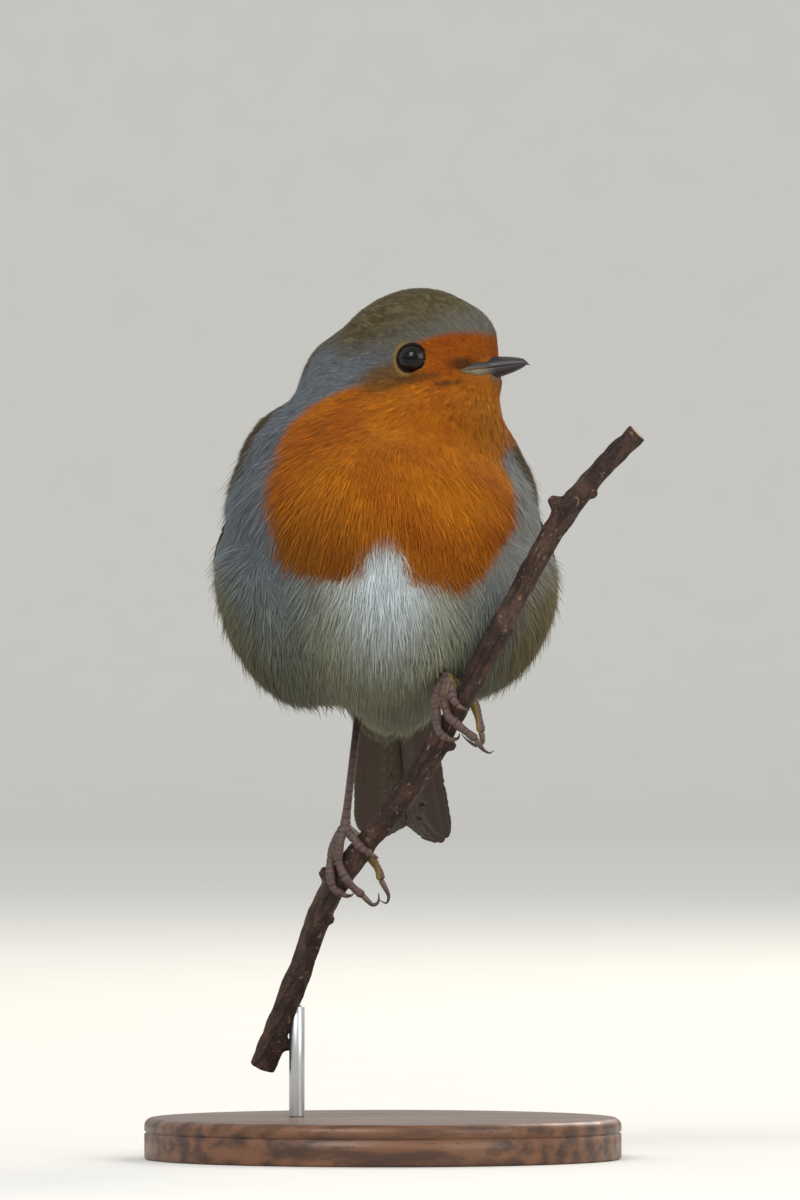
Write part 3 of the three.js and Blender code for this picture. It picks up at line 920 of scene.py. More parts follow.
@dataclass
class Wing:
    """A folded wing of separate feathers that hugs the side of the back."""

    name: str
    half_width: tuple[float, ...] = (5, 10.6, 13.6, 11.4, 1.4)
    free_from: float = 0.6
    rows: tuple[FeatherRow, ...] = (
        FeatherRow(
            8, (0.3, -0.8), (0.3, -0.4), (0.78, -0.75), (0.99, 0.1),
            2.5, (-0.7, -0.3), 0.8, 0, 0.25, 70,
        ),
        FeatherRow(
            6, (0.26, -0.45), (0.28, 0.3), (0.8, -0.2), (0.66, 0.45),
            3.4, (-0.2, 0.2), 0.9, 0, 0.3, 60,
        ),
        FeatherRow(
            3, (0.26, 0.3), (0.24, 0.7), (0.72, 0.35), (0.54, 0.78),
            4.2, (0.5, 0.85), 0.9, 0.1, 0.3, 60,
        ),
        FeatherRow(6, (0.12, -0.85), (0.14, -0.5), (0.42, -0.82), (0.38, -0.5), 1.9, (0.1, 0.3), 0.4, 0),
        FeatherRow(3, (0.1, -0.8), (0.1, -0.65), (0.34, -0.9), (0.26, -0.72), 1.7, (0.45, 0.6), 0.6, 0),
        FeatherRow(
            9, (0.14, -0.6), (0.14, 0.8), (0.41, -0.62), (0.4, 0.85),
            2.7, (0.6, 0.8), 0.7, 0.7, 0.3,
        ),
        FeatherRow(
            9, (0.06, -0.7), (0.06, 0.8), (0.28, -0.7), (0.28, 0.85),
            2.4, (0.9, 1.0), 0.8, 0.1, 0.4, 20,
        ),
        FeatherRow(
            9, (0.01, -0.8), (0.01, 0.8), (0.21, -0.8), (0.21, 0.9),
            2.1, (1.1, 1.15), 0.9, 0, 0.45, 18,
        ),
    )

    def __post_init__(self) -> None:
        """Lays the wing's line from the bend of the wing to its tip."""
        self.side = SIDES[self.name]
        knots = [(22.5, -3, 139), (28, 7, 128), (27.4, 20, 114.5), (23.2, 31.5, 101.5), (19.4, 42, 88.8)]
        self.line = Spline([(self.side * x, y, z) for x, y, z in knots])

    def axes(self, share: Array) -> tuple[Array, Array]:
        """The outward and upward directions across the wing at shares of its length.

        Args:
            share: Shares of the length.

        Returns:
            Two rows of unit vectors.
        """
        heading = self.line.heading(share)
        out = np.stack([self.side * lerp(0.9, 0.75, share), lerp(0.3, 0.7, share), 0.25 + 0 * share], -1)
        out = unit(out - heading * dots(out, heading)[..., None])
        return out, -self.side * np.cross(heading, out)

    def surface(self, share: Array, across: Array) -> tuple[Array, Array]:
        """Places and outward directions on the wing, from a share along and millimetres up.

        Args:
            share: Shares of the wing's length.
            across: Millimetres up from its line.

        Returns:
            The places and the directions.
        """
        out, up = self.axes(share)
        base = self.line.at(share) + self.line.heading(share) * (np.minimum(share, 0) * 70)[..., None]
        flat = base + up * across[..., None]
        hug = 1 - smoothstep(share, self.free_from, 0.9)
        gap = PLUMAGE.outside(flat.reshape(-1, 3)).reshape(share.shape)
        lift = hug * (0.3 - gap) - (1 - hug) * across**2 / 50
        return flat + out * lift[..., None], out

    def covers(self, points: Array, margin: float = 0) -> Array:
        """1 where the wing covers the body, 0 elsewhere, and out to a margin in millimetres.

        Args:
            points: Places on the bird.
            margin: How far the mask reaches beyond the edge.

        Returns:
            The mask.
        """
        shares = np.linspace(0, 1, 80)
        out, up = self.axes(shares)
        line = self.line.at(shares)
        gap = points[:, None] - line[None]
        nearest = np.argmin((gap**2).sum(2), axis=1)
        chosen = gap[np.arange(len(points)), nearest]
        across = np.abs(dots(chosen, up[nearest]))
        depth = np.abs(dots(chosen, out[nearest]))
        share = shares[nearest]
        width = even_spline(self.half_width, share)
        inside = 1 - smoothstep(across - width - margin, -1, 0)
        start = 0.08 - margin / self.line.length
        run = smoothstep(share, start, start + 0.05) * (1 - smoothstep(share, 0.62, 0.72))
        return inside * run * (depth < 12) * (PLUMAGE.outside(points) < 0)

    def build(self) -> Piece:
        """Makes the wing's feathers as one piece.

        Returns:
            The piece.
        """
        rng = np.random.default_rng(5)
        parts = MeshParts()
        for row in self.rows:
            for i in range(row.count):
                step = i / (row.count - 1)
                root = lerp(np.array(row.root_first), np.array(row.root_last), step)
                tip = lerp(np.array(row.tip_first), np.array(row.tip_last), step) + rng.normal(0, 0.006, 2)
                height = lerp(*row.height, step)
                self.feather(parts, row, root, tip, height, rng)
        return parts.piece(f"{self.name}_wing_feathers")

    def feather(
        self, parts: MeshParts, row: FeatherRow, root: Array, tip: Array, height: float, rng: Draws
    ) -> None:
        """Adds one feather of a row.

        Args:
            parts: Where it goes.
            row: The row that it belongs to.
            root: Where it starts on the wing.
            tip: Where it ends on the wing.
            height: How far it lies above the wing's middle sheet.
            rng: Draws its small differences.
        """
        length = float((tip[0] - root[0]) * self.line.length)

        def place(share: Array, across: Array) -> tuple[Array, Array]:
            """Places and outward directions on this feather.

            Args:
                share: Shares of its length.
                across: Millimetres from its shaft.

            Returns:
                The places and the directions.
            """
            along = lerp(root[0], tip[0], share)[:, None] + 0 * across
            level = lerp(root[1], tip[1], share) * even_spline(self.half_width, along[:, 0])
            spot, out = self.surface(along, level[:, None] + across)
            rise = height - 0.35 + 0.55 * share[:, None] + 0.06 * across
            return spot + out * rise[..., None], out

        vane = Vane(length, row.width, row.width, row.tip, 0.16, 0.16, row.rows, row.fringe, row.spot)
        vane.add(parts, place, rng)


@dataclass
class Tail:
    """Twelve tail feathers in a folded tail."""

    root: Triple = (1.2, 25, 103)
    tip: Triple = (4.6, 68, 60.4)
    roll: float = 7
    notch: float = 1.8
    corner: float = 4.5
    pairs: int = 6
    spread: Pair = (3.4, 8.2)

    def axes(self) -> tuple[Array, Array, Array, float]:
        """The tail's direction, its left, its upper side and its length.

        Returns:
            Three unit vectors and the length.
        """
        run = np.array(self.tip) - np.array(self.root)
        length = float(np.linalg.norm(run))
        heading = run / length
        level = unit(np.cross(heading, [0, 0, 1.0]))
        roll = math.radians(self.roll)
        across = level * math.cos(roll) + np.cross(heading, level) * math.sin(roll)
        return heading, across, unit(np.cross(across, heading)), length

    def build(self) -> Piece:
        """Makes the tail feathers, with the middle pair on top.

        Returns:
            The piece.
        """
        rng = np.random.default_rng(8)
        heading, across, top, length = self.axes()
        parts = MeshParts()
        for pair in reversed(range(self.pairs)):
            rank = pair / (self.pairs - 1)
            for side in (-1, 1):
                short = lerp(self.notch, 0, smoothstep(rank, 0, 0.5))
                short += self.corner * smoothstep(rank, 0.6, 1.3)
                root_across = side * lerp(0.4, self.spread[0], rank)
                tip_across = side * lerp(2.0, self.spread[1], rank)
                run = length - short - rng.uniform(0, 0.5)
                height = 0.85 - 1.7 * rank + 0.09 * side

                def place(share: Array, offset: Array) -> tuple[Array, Array]:
                    """Places and upward directions on this feather.

                    Args:
                        share: Shares of its length.
                        offset: Millimetres from its shaft.

                    Returns:
                        The places and the directions.
                    """
                    along = (share * run)[:, None] + 0 * offset
                    aside = lerp(root_across, tip_across, share**0.8)[:, None] + offset
                    fan = lerp(0.5, 1.0, share)[:, None]
                    rise = height * (1.2 - 0.35 * share[:, None])
                    rise = rise - 0.012 * aside**2 * fan - 0.012 * side * offset
                    spot = np.array(self.root) + heading * along[..., None] + across * aside[..., None]
                    return spot + top * rise[..., None], np.broadcast_to(top, (*offset.shape, 3))

                outer, inner = lerp(2.6, 1.9, rank), lerp(3.4, 4.6, rank)
                widths = (outer, inner) if side > 0 else (inner, outer)
                vane = Vane(run, *widths, 0.13, 0.13, 0.2, 84, 0.55, 0.0)
                vane.add(parts, place, rng)
        return parts.piece("tail_feathers")


# ---- Bill and eyes ----


@dataclass
class Bill:
    """The two halves of the bill, in the head's frame."""

    root: float = 9.7
    tip: float = 21.6
    widths: tuple[Pair, ...] = (
        (9, 6.3), (10.2, 5.8), (11.2, 5.1), (12.2, 4.25), (13.2, 3.35), (14.2, 2.65), (15.2, 2.25),
        (16.5, 1.9), (18, 1.5), (19.5, 1.08), (20.7, 0.68), (21.6, 0.4),
    )
    gape: float = -4.4
    culmen: float = -2.2
    chin: float = -6.3
    gap: float = 0.1
    rings: int = 60
    sides: int = 28

    def half(self, name: str, edge: float, length: float) -> Piece:
        """Makes one half.

        Args:
            name: The piece's name.
            edge: The height of its outer edge where it starts.
            length: How far forward it reaches.

        Returns:
            The piece.
        """
        up = math.copysign(1, edge - self.gape)
        t = 1 - (1 - np.linspace(0, 1, self.rings)) ** 1.5
        x = lerp(self.root, length, t)
        taper = np.sqrt(np.maximum(0.004, 1 - t**1.7))
        half_width = np.minimum(self.width(x), 3.4 * taper + 8 * (1 - smoothstep(x, 12, 15)))
        hook = 0.5 * smoothstep(x, self.tip - 1.4, self.tip) if up > 0 else 0 * x
        seam = self.gape + up * self.gap / 2 + 0.025 * (x - self.root) - hook
        thin = smoothstep(x, self.root - 1.5, self.root + 2.8)
        height = (edge - self.gape) * taper**1.1 * (1 + 0.06 * np.sin(math.pi * t)) * thin
        a = np.linspace(0, math.pi, self.sides)
        ridge = np.abs(np.sin(a)) ** 0.9 * (1 + 0.05 * np.exp(-(((a - math.pi / 2) / 0.22) ** 2)))
        square = lerp(0.45, 1, smoothstep(x, self.root + 2.5, self.root + 5.5))[:, None]
        bowed = np.sign(np.cos(a)) * np.abs(np.cos(a)) ** square
        side = half_width[:, None] * bowed * (1 - 0.06 * np.sin(a) ** 2)
        rise = seam[:, None] + height[:, None] * ridge
        if up > 0:
            slot = ((x[:, None] - 13.9) / 1.15) ** 2 + ((np.minimum(a, math.pi - a) - 0.72) / 0.2) ** 2
            side = side * (1 - 0.13 * np.exp(-slot))
        inner = np.linspace(-1, 1, 8)[1:-1]
        flat = half_width[:, None] * inner
        hollow = seam[:, None] + up * 0.12 * (1 - inner**2) * taper[:, None]
        across = np.concatenate([side, flat], 1)
        level = np.concatenate([rise, hollow], 1)
        rings = np.stack([np.broadcast_to(x[:, None], across.shape), across, level], -1)
        parts = MeshParts()
        points, faces = closed_tube(rings)
        parts.add(HEAD.out(points), faces, spot=points)
        return parts.piece(name)

    def width(self, x: Array) -> Array:
        """The half width, which flares back to the corner of the mouth on the cheeks."""
        return np.interp(x, *zip(*self.widths))

    def bare(self, head: Array) -> Array:
        """How far places in the head's frame are inside the unfeathered strip beside the bill.

        Args:
            head: Places in the head's frame.

        Returns:
            The distance of each, negative if outside.
        """
        reach = np.clip((head[:, 0] - self.root + 0.3) / 3.8, 0, 1)
        rise = head[:, 2] - self.gape
        return np.minimum(2.0 * reach - rise, rise + 1.75 * np.minimum(2.2 * reach, 1))

    def build(self) -> dict[str, Piece]:
        """Makes both halves, by the node that each stands for.

        Returns:
            The pieces.
        """
        return {
            "upper_bill": self.half("upper_mandible", self.culmen, self.tip),
            "lower_bill": self.half("lower_mandible", self.chin, self.tip - 0.7),
        }


BILL = Bill()


@dataclass
class Bristles:
    """The stiff hairs round the corners of the mouth."""

    count: int = 9
    length: float = 3.3
    radius: float = 0.045

    def build(self) -> Piece:
        """Makes the hairs of both sides as one piece.

        Returns:
            The piece.
        """
        rng = np.random.default_rng(21)
        parts = MeshParts()
        for side in SIDES.values():
            for step in np.linspace(0, 1, self.count):
                ahead = lerp(9.0, 11.6, 0.5 - 0.5 * math.cos(2 * math.pi * step)) + rng.normal(0, 0.15)
                level = BILL.gape + lerp(2.0, -1.3, step) + rng.normal(0, 0.1)
                root = np.array([ahead, BILL.width(ahead) + 0.1, level])
                way = np.array([0.75, lerp(0.6, 0.9, rng.random()), lerp(0.25, -0.7, step)])
                tip = root + unit(way) * self.length * lerp(0.75, 1.1, rng.random())
                bend = (root + tip) / 2 + np.array([0, 0.3, -0.1])
                line = Spline([tuple(point * (1, side, 1)) for point in (root, bend, tip)])
                self.hair(parts, line)
        return parts.piece("rictal_bristles")

    def hair(self, parts: MeshParts, line: Spline) -> None:
        """Adds one tapered hair along a line in the head's frame.

        Args:
            parts: Where it goes.
            line: Its line.
        """
        share = np.linspace(0, 1, 7)
        centre, ahead = line.at(share), line.heading(share)
        over = unit(np.cross(ahead, (0.1, 0.2, 1)))
        turn = around(5)
        aside = np.cross(ahead, over)
        ring = np.cos(turn)[:, None] * over[:, None] + np.sin(turn)[:, None] * aside[:, None]
        size = self.radius * (1 - 0.85 * share)
        points, faces = closed_tube(centre[:, None] + ring * size[:, None, None])
        parts.add(HEAD.out(points), faces)


@dataclass
class Eye:
    """An eyeball and the lids round it."""

    name: str
    opening: float = 2.72
    forward_turn: float = 16
    upward_turn: float = 4

    def __post_init__(self) -> None:
        """Works out where the eye looks."""
        self.side = SIDES[self.name]
        turn, rise = math.radians(self.forward_turn), math.radians(self.upward_turn)
        forward, left, up = HEAD.axes()
        self.axis = unit(
            forward * math.sin(turn) + self.side * left * math.cos(turn) + up * math.sin(rise)
        )
        self.back = unit(np.cross(self.axis, up) * self.side)
        self.up = unit(np.cross(self.axis, self.back))
        self.up *= np.sign(self.up[2])
        self.centre = HEAD.eye_centre(self.side)

    def ring(self, radius: Array, height: Array, angle: Array) -> Array:
        """Places at a distance from the eye's axis and a height along it."""
        flat = np.cos(angle)[..., None] * self.back + np.sin(angle)[..., None] * self.up
        return self.centre + radius[..., None] * flat + height[..., None] * self.axis

    def ball(self) -> Piece:
        """Makes the eyeball with a slightly raised cornea.

        Returns:
            The piece.
        """
        rise = np.linspace(0.01, math.pi * 0.96, 56)[:, None]
        angle = around(72)[None, :]
        radius = HEAD.eye_radius * (1 - 0.012 + 0.02 * np.exp(-((rise / 0.55) ** 2)))
        out, height = radius * np.sin(rise) + 0 * angle, radius * np.cos(rise) + 0 * angle
        points, faces = closed_tube(self.ring(out, height, angle + 0 * rise))
        parts = MeshParts()
        parts.add(points, faces, from_axis=np.concatenate([out.ravel(), [0, 0]]))
        return parts.piece(f"{self.name}_eyeball")

    def lids(self) -> Piece:
        """Makes the bare rim of the lids, which fits the ball and sinks into the feathers.

        Returns:
            The piece.
        """
        angle = around(96)[:, None]
        oval = 1 + 0.045 * np.cos(2 * angle) + 0.03 * np.maximum(0, -np.sin(angle)) ** 2
        opening = self.opening * oval
        step = around(14)[None, :]
        beads = 1 + 0.14 * np.cos(30 * angle) * np.maximum(0, np.cos(step - 1.2))
        ball = np.sqrt(HEAD.eye_radius**2 - opening**2)
        radius = opening + 0.22 - 0.22 * np.cos(step) * beads
        height = ball + 0.02 - 0.16 * (1 - np.cos(step)) + 0.13 * np.sin(step) * beads
        points = self.ring(radius, height, angle + 0 * step)
        parts = MeshParts()
        rows, columns, _ = points.shape
        faces = strip_faces(rows + 1, columns)
        faces = [[i % (rows * columns) for i in face] for face in faces]
        parts.add(points.reshape(-1, 3), faces)
        return parts.piece(f"{self.name}_eyelids")


# ---- Feet ----

Joint = tuple[float, ...]


@dataclass(frozen=True)
class Foot:
    """A leg and foot that grip the twig.

    A joint is up, across and front: millimetres up the twig from the foot's height, to the
    right of the twig's line, and in front of it. Without the third it lies on the bark.
    """

    name: str
    height: float
    heel: Triple
    knuckle: Joint
    toes: dict[str, tuple[Joint, ...]]
    claws: dict[str, tuple[Joint, ...]]
    tarsus_radius: float = 0.76
    toe_radius: float = 0.92
    claw_radius: float = 0.5
    scute: float = 1.05

    def points(self, joints: Sequence[Joint]) -> list[Array]:
        """The joints as places on the bird.

        Args:
            joints: The joints.

        Returns:
            A place for each.
        """
        start = TWIG.share_at(self.height)
        made = []
        for up, across, *front in joints:
            share = start + up / TWIG.line.length
            on_bark = TWIG.radius_at(share) + self.toe_radius + 0.1
            before = front[0] if front else math.sqrt(max(0, on_bark**2 - across**2))
            centre, _, ahead, right = TWIG.frame(np.array(share))
            made.append(centre + ahead * before + right * across)
        return made

    def away(self, places: Array) -> Array:
        """The direction from the twig's line to each place.

        Args:
            places: Places near the twig.

        Returns:
            A unit vector for each.
        """
        samples = TWIG.line.at(np.linspace(0, 1, 400))
        nearest = np.argmin(((places[:, None] - samples[None]) ** 2).sum(2), axis=1)
        return unit(places - samples[nearest])

    def limb(
        self, line: Spline, radius: Callable[[Array], Array], ahead: Array | None
    ) -> tuple[Array, ...]:
        """A round limb along a line.

        Args:
            line: The line.
            radius: Gives the radius at shares of the line.
            ahead: The direction of its scaly side, or None for a toe, whose scales face
                away from the twig.

        Returns:
            The rings, the middle places and the scaly direction at each.
        """
        share = np.linspace(0, 1, max(12, int(line.length / 0.3)))
        middle, heading = line.at(share), line.heading(share)
        back = self.away(middle) if ahead is None else np.broadcast_to(ahead, middle.shape)
        back = unit(back - heading * dots(back, heading)[:, None])
        side = np.cross(heading, back)
        from_end = np.minimum(share, 1 - share) * line.length + 0.2
        size = radius(share)
        size = size * np.sqrt(1 - (1 - np.minimum(1, from_end / size)) ** 2)
        a = around(20)
        flat = np.cos(a)[None, :, None] * back[:, None] + np.sin(a)[None, :, None] * side[:, None]
        return middle[:, None] + size[:, None, None] * flat, middle, back

    def toe_width(self, share: Array) -> Array:
        """A toe's radius along it, with a pad under each joint."""
        return self.toe_radius * (1.04 - 0.18 * share + 0.1 * np.cos(6 * math.pi * share))

    def shin_width(self, share: Array) -> Array:
        """The tarsus's radius along it, wider at both ends."""
        return self.tarsus_radius * (1 + 0.5 * (2 * share - 1) ** 6)

    def claw_width(self, share: Array) -> Array:
        """A claw's radius along it, down to a point."""
        return 1.25 * self.claw_radius * (1 - 0.9 * share**1.15)

    def skin(self) -> Piece:
        """Makes the leg and toes as one scaly skin.

        Returns:
            The piece.
        """
        parts = MeshParts()
        rows: list[Array] = []
        [knuckle] = self.points([self.knuckle])
        for joints in self.toes.values():
            line = Spline([knuckle, *self.points(joints)])
            rings, middle, back = self.limb(line, self.toe_width, None)
            parts.add(*closed_tube(rings))
            along = np.linspace(0, line.length, len(middle))
            rows.append(np.column_stack([middle, back, along]))
        heel = np.array(self.heel)
        line = Spline([heel, (heel + knuckle) / 2 + np.array([0, 0.5, 0]), knuckle])
        rings, middle, back = self.limb(line, self.shin_width, np.array([0.2, -1.0, 0]))
        parts.add(*closed_tube(rings))
        rows.append(np.column_stack([middle, back, np.linspace(0, line.length, len(middle)) * 0.5]))
        obj = remesh(parts.piece(f"{self.name}_leg_skin"), 0.125)
        self.scale(obj.data, np.vstack(rows))
        return obj

    def scale(self, mesh: Mesh, rows: Array) -> None:
        """Raises scutes on the upper side and fine grains on the sole.

        Args:
            mesh: The leg's skin.
            rows: For each place along a limb: the place, its scaly direction and its length so far.
        """
        tree = KDTree(len(rows))
        for i, row in enumerate(rows):
            tree.insert(Vector(row[:3]), i)
        tree.balance()
        places, normals = read_points(mesh), read_points(mesh, "normal")
        near = rows[[tree.find(Vector(place))[1] for place in places]]
        out = unit(places - near[:, :3])
        facing = dots(out, near[:, 3:6])
        cell = np.mod(near[:, 6] / self.scute, 1)
        groove = np.exp(-(((cell - 0.5) / 0.1) ** 2)) * smoothstep(facing, -0.35, 0.15)
        sole = smoothstep(-facing, 0.1, 0.7)
        grain = np.sin(places * 9.0).prod(1) * sole
        crown = 0.05 * np.abs(cell - 0.5) * (1 - sole)
        move_points(mesh, places + normals * (crown - 0.075 * groove + 0.035 * grain)[:, None])
        write_attribute(mesh, "groove", groove)
        write_attribute(mesh, "sole", sole)

    def talons(self) -> Piece:
        """Makes the four claws as one piece.

        Returns:
            The piece.
        """
        parts = MeshParts()
        for toe, joints in self.claws.items():
            line = Spline(self.points([self.toes[toe][-1], *joints]))
            rings, _, _ = self.limb(line, self.claw_width, None)
            points, faces = closed_tube(rings)
            share = np.concatenate([np.repeat(np.linspace(0, 1, len(rings)), rings.shape[1]), [0, 1]])
            parts.add(points, faces, share=share)
        return parts.piece(f"{self.name}_claws")

    def nodes(self) -> tuple[list[str], list[str]]:
        """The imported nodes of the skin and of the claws."""
        claws = [f"{self.name}_{toe}_claw" for toe in self.claws]
        return [f"{self.name}_leg", f"{self.name}_foot"], claws


FEET = (
    Foot(
        "right", 61.5, (-4.6, 6.5, 87), (-0.6, -5.2, 0.2),
        {
            "inner": ((-0.8, -2.4), (-1, 0.2), (-0.9, 1.9)),
            "middle": ((-3, -4.2, 1.7), (-5.9, -2.4), (-7.7, 0.8), (-8.6, 2.9, 2.7), (-9, 5.6, 2.4)),
            "outer": (
                (-3, -5.1, 0.6), (-5.4, -4.3, 1.2), (-7.4, -3.3, 1.9),
                (-9.5, -1.5), (-11, 0.3), (-11.2, 2),
            ),
            "hind": (
                (-1.9, -2.8, -3), (-3, 0.2, -3.9), (-3.8, 2.9, -3), (-4.2, 5.1, -1.6), (-5.2, 6.6, -0.8),
            ),
        },
        {
            "inner": ((-0.95, 2.7, 2.5), (-1.1, 3.4, 1.7), (-1.2, 3.6, 0.8)),
            "middle": ((-9.4, 7, 2.3), (-9.5, 8.2, 2.2), (-8.4, 8.7, 2), (-6.6, 7.7, 1.6)),
            "outer": ((-11.1, 3, 2.4), (-10.8, 3.7, 1.6), (-10.4, 3.9, 0.7)),
            "hind": ((-5.8, 8, -0.5), (-6.8, 9.7, -0.2), (-8.3, 10.1, 0), (-8.7, 8.8, 0)),
        },
    ),
    Foot(
        "left", 90.2, (5.6, -3, 100), (0.7, -4.8, 0.2),
        {
            "inner": ((-0.3, -3.1), (-1.6, -1.9), (-2.2, -0.4)),
            "middle": (
                (-1.6, -4, 1.7), (-3.4, -2.8), (-5, -1), (-5.8, 1.3), (-6.2, 3.7, 2.8), (-6.6, 6, 2.6),
            ),
            "outer": (
                (-1.4, -5.1, 0.8), (-3.8, -4.7, 1.2), (-6, -3.2, 1.9),
                (-8.2, -1.7), (-9.1, -0.3), (-9.2, 1),
            ),
            "hind": (
                (-0.6, -3, -2.9), (-1.6, 0, -3.9), (-2.9, 2.4, -3.1), (-4.2, 4.3, -1.6), (-6, 6.2, -0.2),
            ),
        },
        {
            "inner": ((-2.3, 0.5, 3.1), (-2.2, 1.5, 2.8), (-2.2, 2.3, 2.1)),
            "middle": ((-7.5, 7.4, 2.5), (-7.9, 8.6, 2.3), (-7.9, 9.6, 2), (-7.2, 10, 1.7)),
            "outer": ((-9, 2.1, 2.8), (-8.4, 2.9, 2.2), (-7.6, 2.7, 1.7)),
            "hind": ((-7.6, 7.3, 0.2), (-8.7, 6.6, 0.3), (-8.7, 5, 0.4), (-8.2, 3.1, 0.4)),
        },
    ),
)


# ---- Skin and coat ----


@dataclass
class Skin:
    """The bird's bare skin, one shape from the bill to under the tail."""

    voxel: float = 0.85
    clear_of_twig: float = 3.0
    shoulders: tuple[Mass, ...] = (
        Mass((20, -1, 134.2), (6.8, 10, 8), roll=-24),
        Mass((-20.7, -1, 134.5), (7.1, 10, 9.2), roll=24),
        Mass((24.5, -2, 124.8), (5.2, 11, 8.6)),
        Mass((-25.1, -2, 124.2), (4.7, 11, 8.4)),
    )

    def level(self, points: Array) -> Array:
        """How far points are outside the skin's surface, with a groove where the twig passes.

        Args:
            points: Places on the bird.

        Returns:
            The distance of each.
        """
        shape = PLUMAGE.outside(points)
        for mass in self.shoulders:
            shape = PLUMAGE.joined(shape, mass.depth(points))
        shape = shape + PLUMAGE.coat_depth(points)
        head = HEAD.into(points)
        beside = np.minimum(BILL.bare(head) + 0.2, head[:, 0] - BILL.root)
        bill = np.minimum(beside, np.abs(head[:, 1]) - BILL.width(head[:, 0]) + 0.5)
        return np.maximum(np.maximum(shape, bill), self.clear_of_twig - TWIG.distance(points))

    def settle(self, places: Array, rounds: int = 5) -> Array:
        """Moves points onto the skin's surface.

        Args:
            places: The points.
            rounds: How many times each is moved.

        Returns:
            The moved points.
        """
        small = 0.05
        for _ in range(rounds):
            here = self.level(places)
            steps = [self.level(places + small * np.eye(3)[k]) - here for k in range(3)]
            slope = np.stack(steps, 1) / small
            size = np.maximum((slope**2).sum(1), 0.2)
            places = places - slope * np.clip(here / size, -1.5, 1.5)[:, None]
        return places

    def build(self) -> Piece:
        """Makes the skin and unwraps it.

        Returns:
            The piece.
        """
        parts = MeshParts()
        for mass in (*PLUMAGE.masses, *self.shoulders):
            parts.add(*mass.ball())
        obj = remesh(parts.piece("skin"), self.voxel)
        relax = obj.modifiers.new("Relax", "SMOOTH")
        relax.iterations = 6
        settle_modifiers(obj)
        move_points(obj.data, self.settle(read_points(obj.data)))
        obj.data.shade_smooth()
        self.unwrap(obj)
        return obj

    def unwrap(self, obj: Piece) -> None:
        """Gives the skin a UV map of its own shape.

        Args:
            obj: The skin.
        """
        obj.data.uv_layers.new(name="OFBake")
        bpy.context.view_layer.objects.active = obj
        bpy.ops.object.mode_set(mode="EDIT")
        bpy.ops.mesh.select_all(action="SELECT")
        bpy.ops.uv.smart_project(angle_limit=math.radians(70), island_margin=0.006)
        bpy.ops.object.mode_set(mode="OBJECT")


class SkinPlaces:
    """What the coat needs to know about each point of the skin."""

    def __init__(self, skin: Piece, wings: Sequence[Wing]) -> None:
        """Measures the skin.

        Args:
            skin: The skin.
            wings: Both wings.
        """
        self.at = read_points(skin.data)
        self.normal = read_points(skin.data, "normal")
        self.head = HEAD.into(self.at)
        self.from_head = np.linalg.norm(self.head, axis=1)
        self.from_bill = np.linalg.norm(self.head - np.array(PLUMAGE.bill_root), axis=1)
        self.lie = PLUMAGE.lie(self.at, self.normal)
        eyes = [np.linalg.norm(np.cross(self.at - eye.centre, eye.axis), axis=1) for eye in EYES]
        facing = [dots(self.at - eye.centre, eye.axis) > 0 for eye in EYES]
        self.from_eye = np.minimum(*[np.where(f, e, 50) for e, f in zip(eyes, facing)])
        deep, under, round_it = [
            np.maximum(*[wing.covers(self.at, margin) for wing in wings]) for margin in (-4.5, -0.5, 3)
        ]
        self.winged, self.under_wing, self.by_wing = deep, under, round_it - under
        self.from_twig = TWIG.distance(self.at)
        self.ventral = 1 - smoothstep(0.8 * self.at[:, 1] + 0.55 * (self.at[:, 2] - 105), 10, 16)

    def length(self) -> Array:
        """The length of the tufts: shortest on the face, longest on the belly and flanks.

        Returns:
            The length at each point.
        """
        body = lerp(1.9, 5.4, smoothstep(self.from_head, 10, 44))
        face = lerp(0.5, 1, smoothstep(self.from_bill, 2.5, 8))
        face = face * lerp(0.45, 1, smoothstep(self.from_eye, 2.6, 5))
        return body * face * lerp(0.8, 1, self.ventral)

    def stretches(self) -> dict[str, Array]:
        """Where each part of the coat grows: true, or a share, at each point.

        Returns:
            The mask of each part, by its name.
        """
        away, height, aside = self.from_head, self.at[:, 2], np.abs(self.at[:, 0])
        below = (height <= 112.5) & (self.ventral > 0.4) & (self.at[:, 1] < 20)
        return {
            "face_coat": (away < 15) & (self.head[:, 0] > -1.5),
            "crown_coat": (away < 18.5) & ((away >= 14.5) | (self.head[:, 0] < -1)),
            "neck_coat": (away >= 18) & (away < 31),
            "breast_coat": (away >= 30.5) & (height > 112) & (self.ventral > 0.4),
            "belly_coat": below & (aside < 17),
            "flank_coat": below & (aside >= 16.5),
            "back_coat": (away >= 30.5) & (self.ventral <= 0.45),
            "vent_coat": (self.ventral > 0.4) & (self.at[:, 1] >= 19.5),
            "head_locks": (away < 19) * lerp(0.4, 1, smoothstep(self.from_bill, 4, 12)),
            "body_locks": 1.0 * (away >= 18),
            "wisps": (away > 24) & (self.ventral > 0.3),
        }


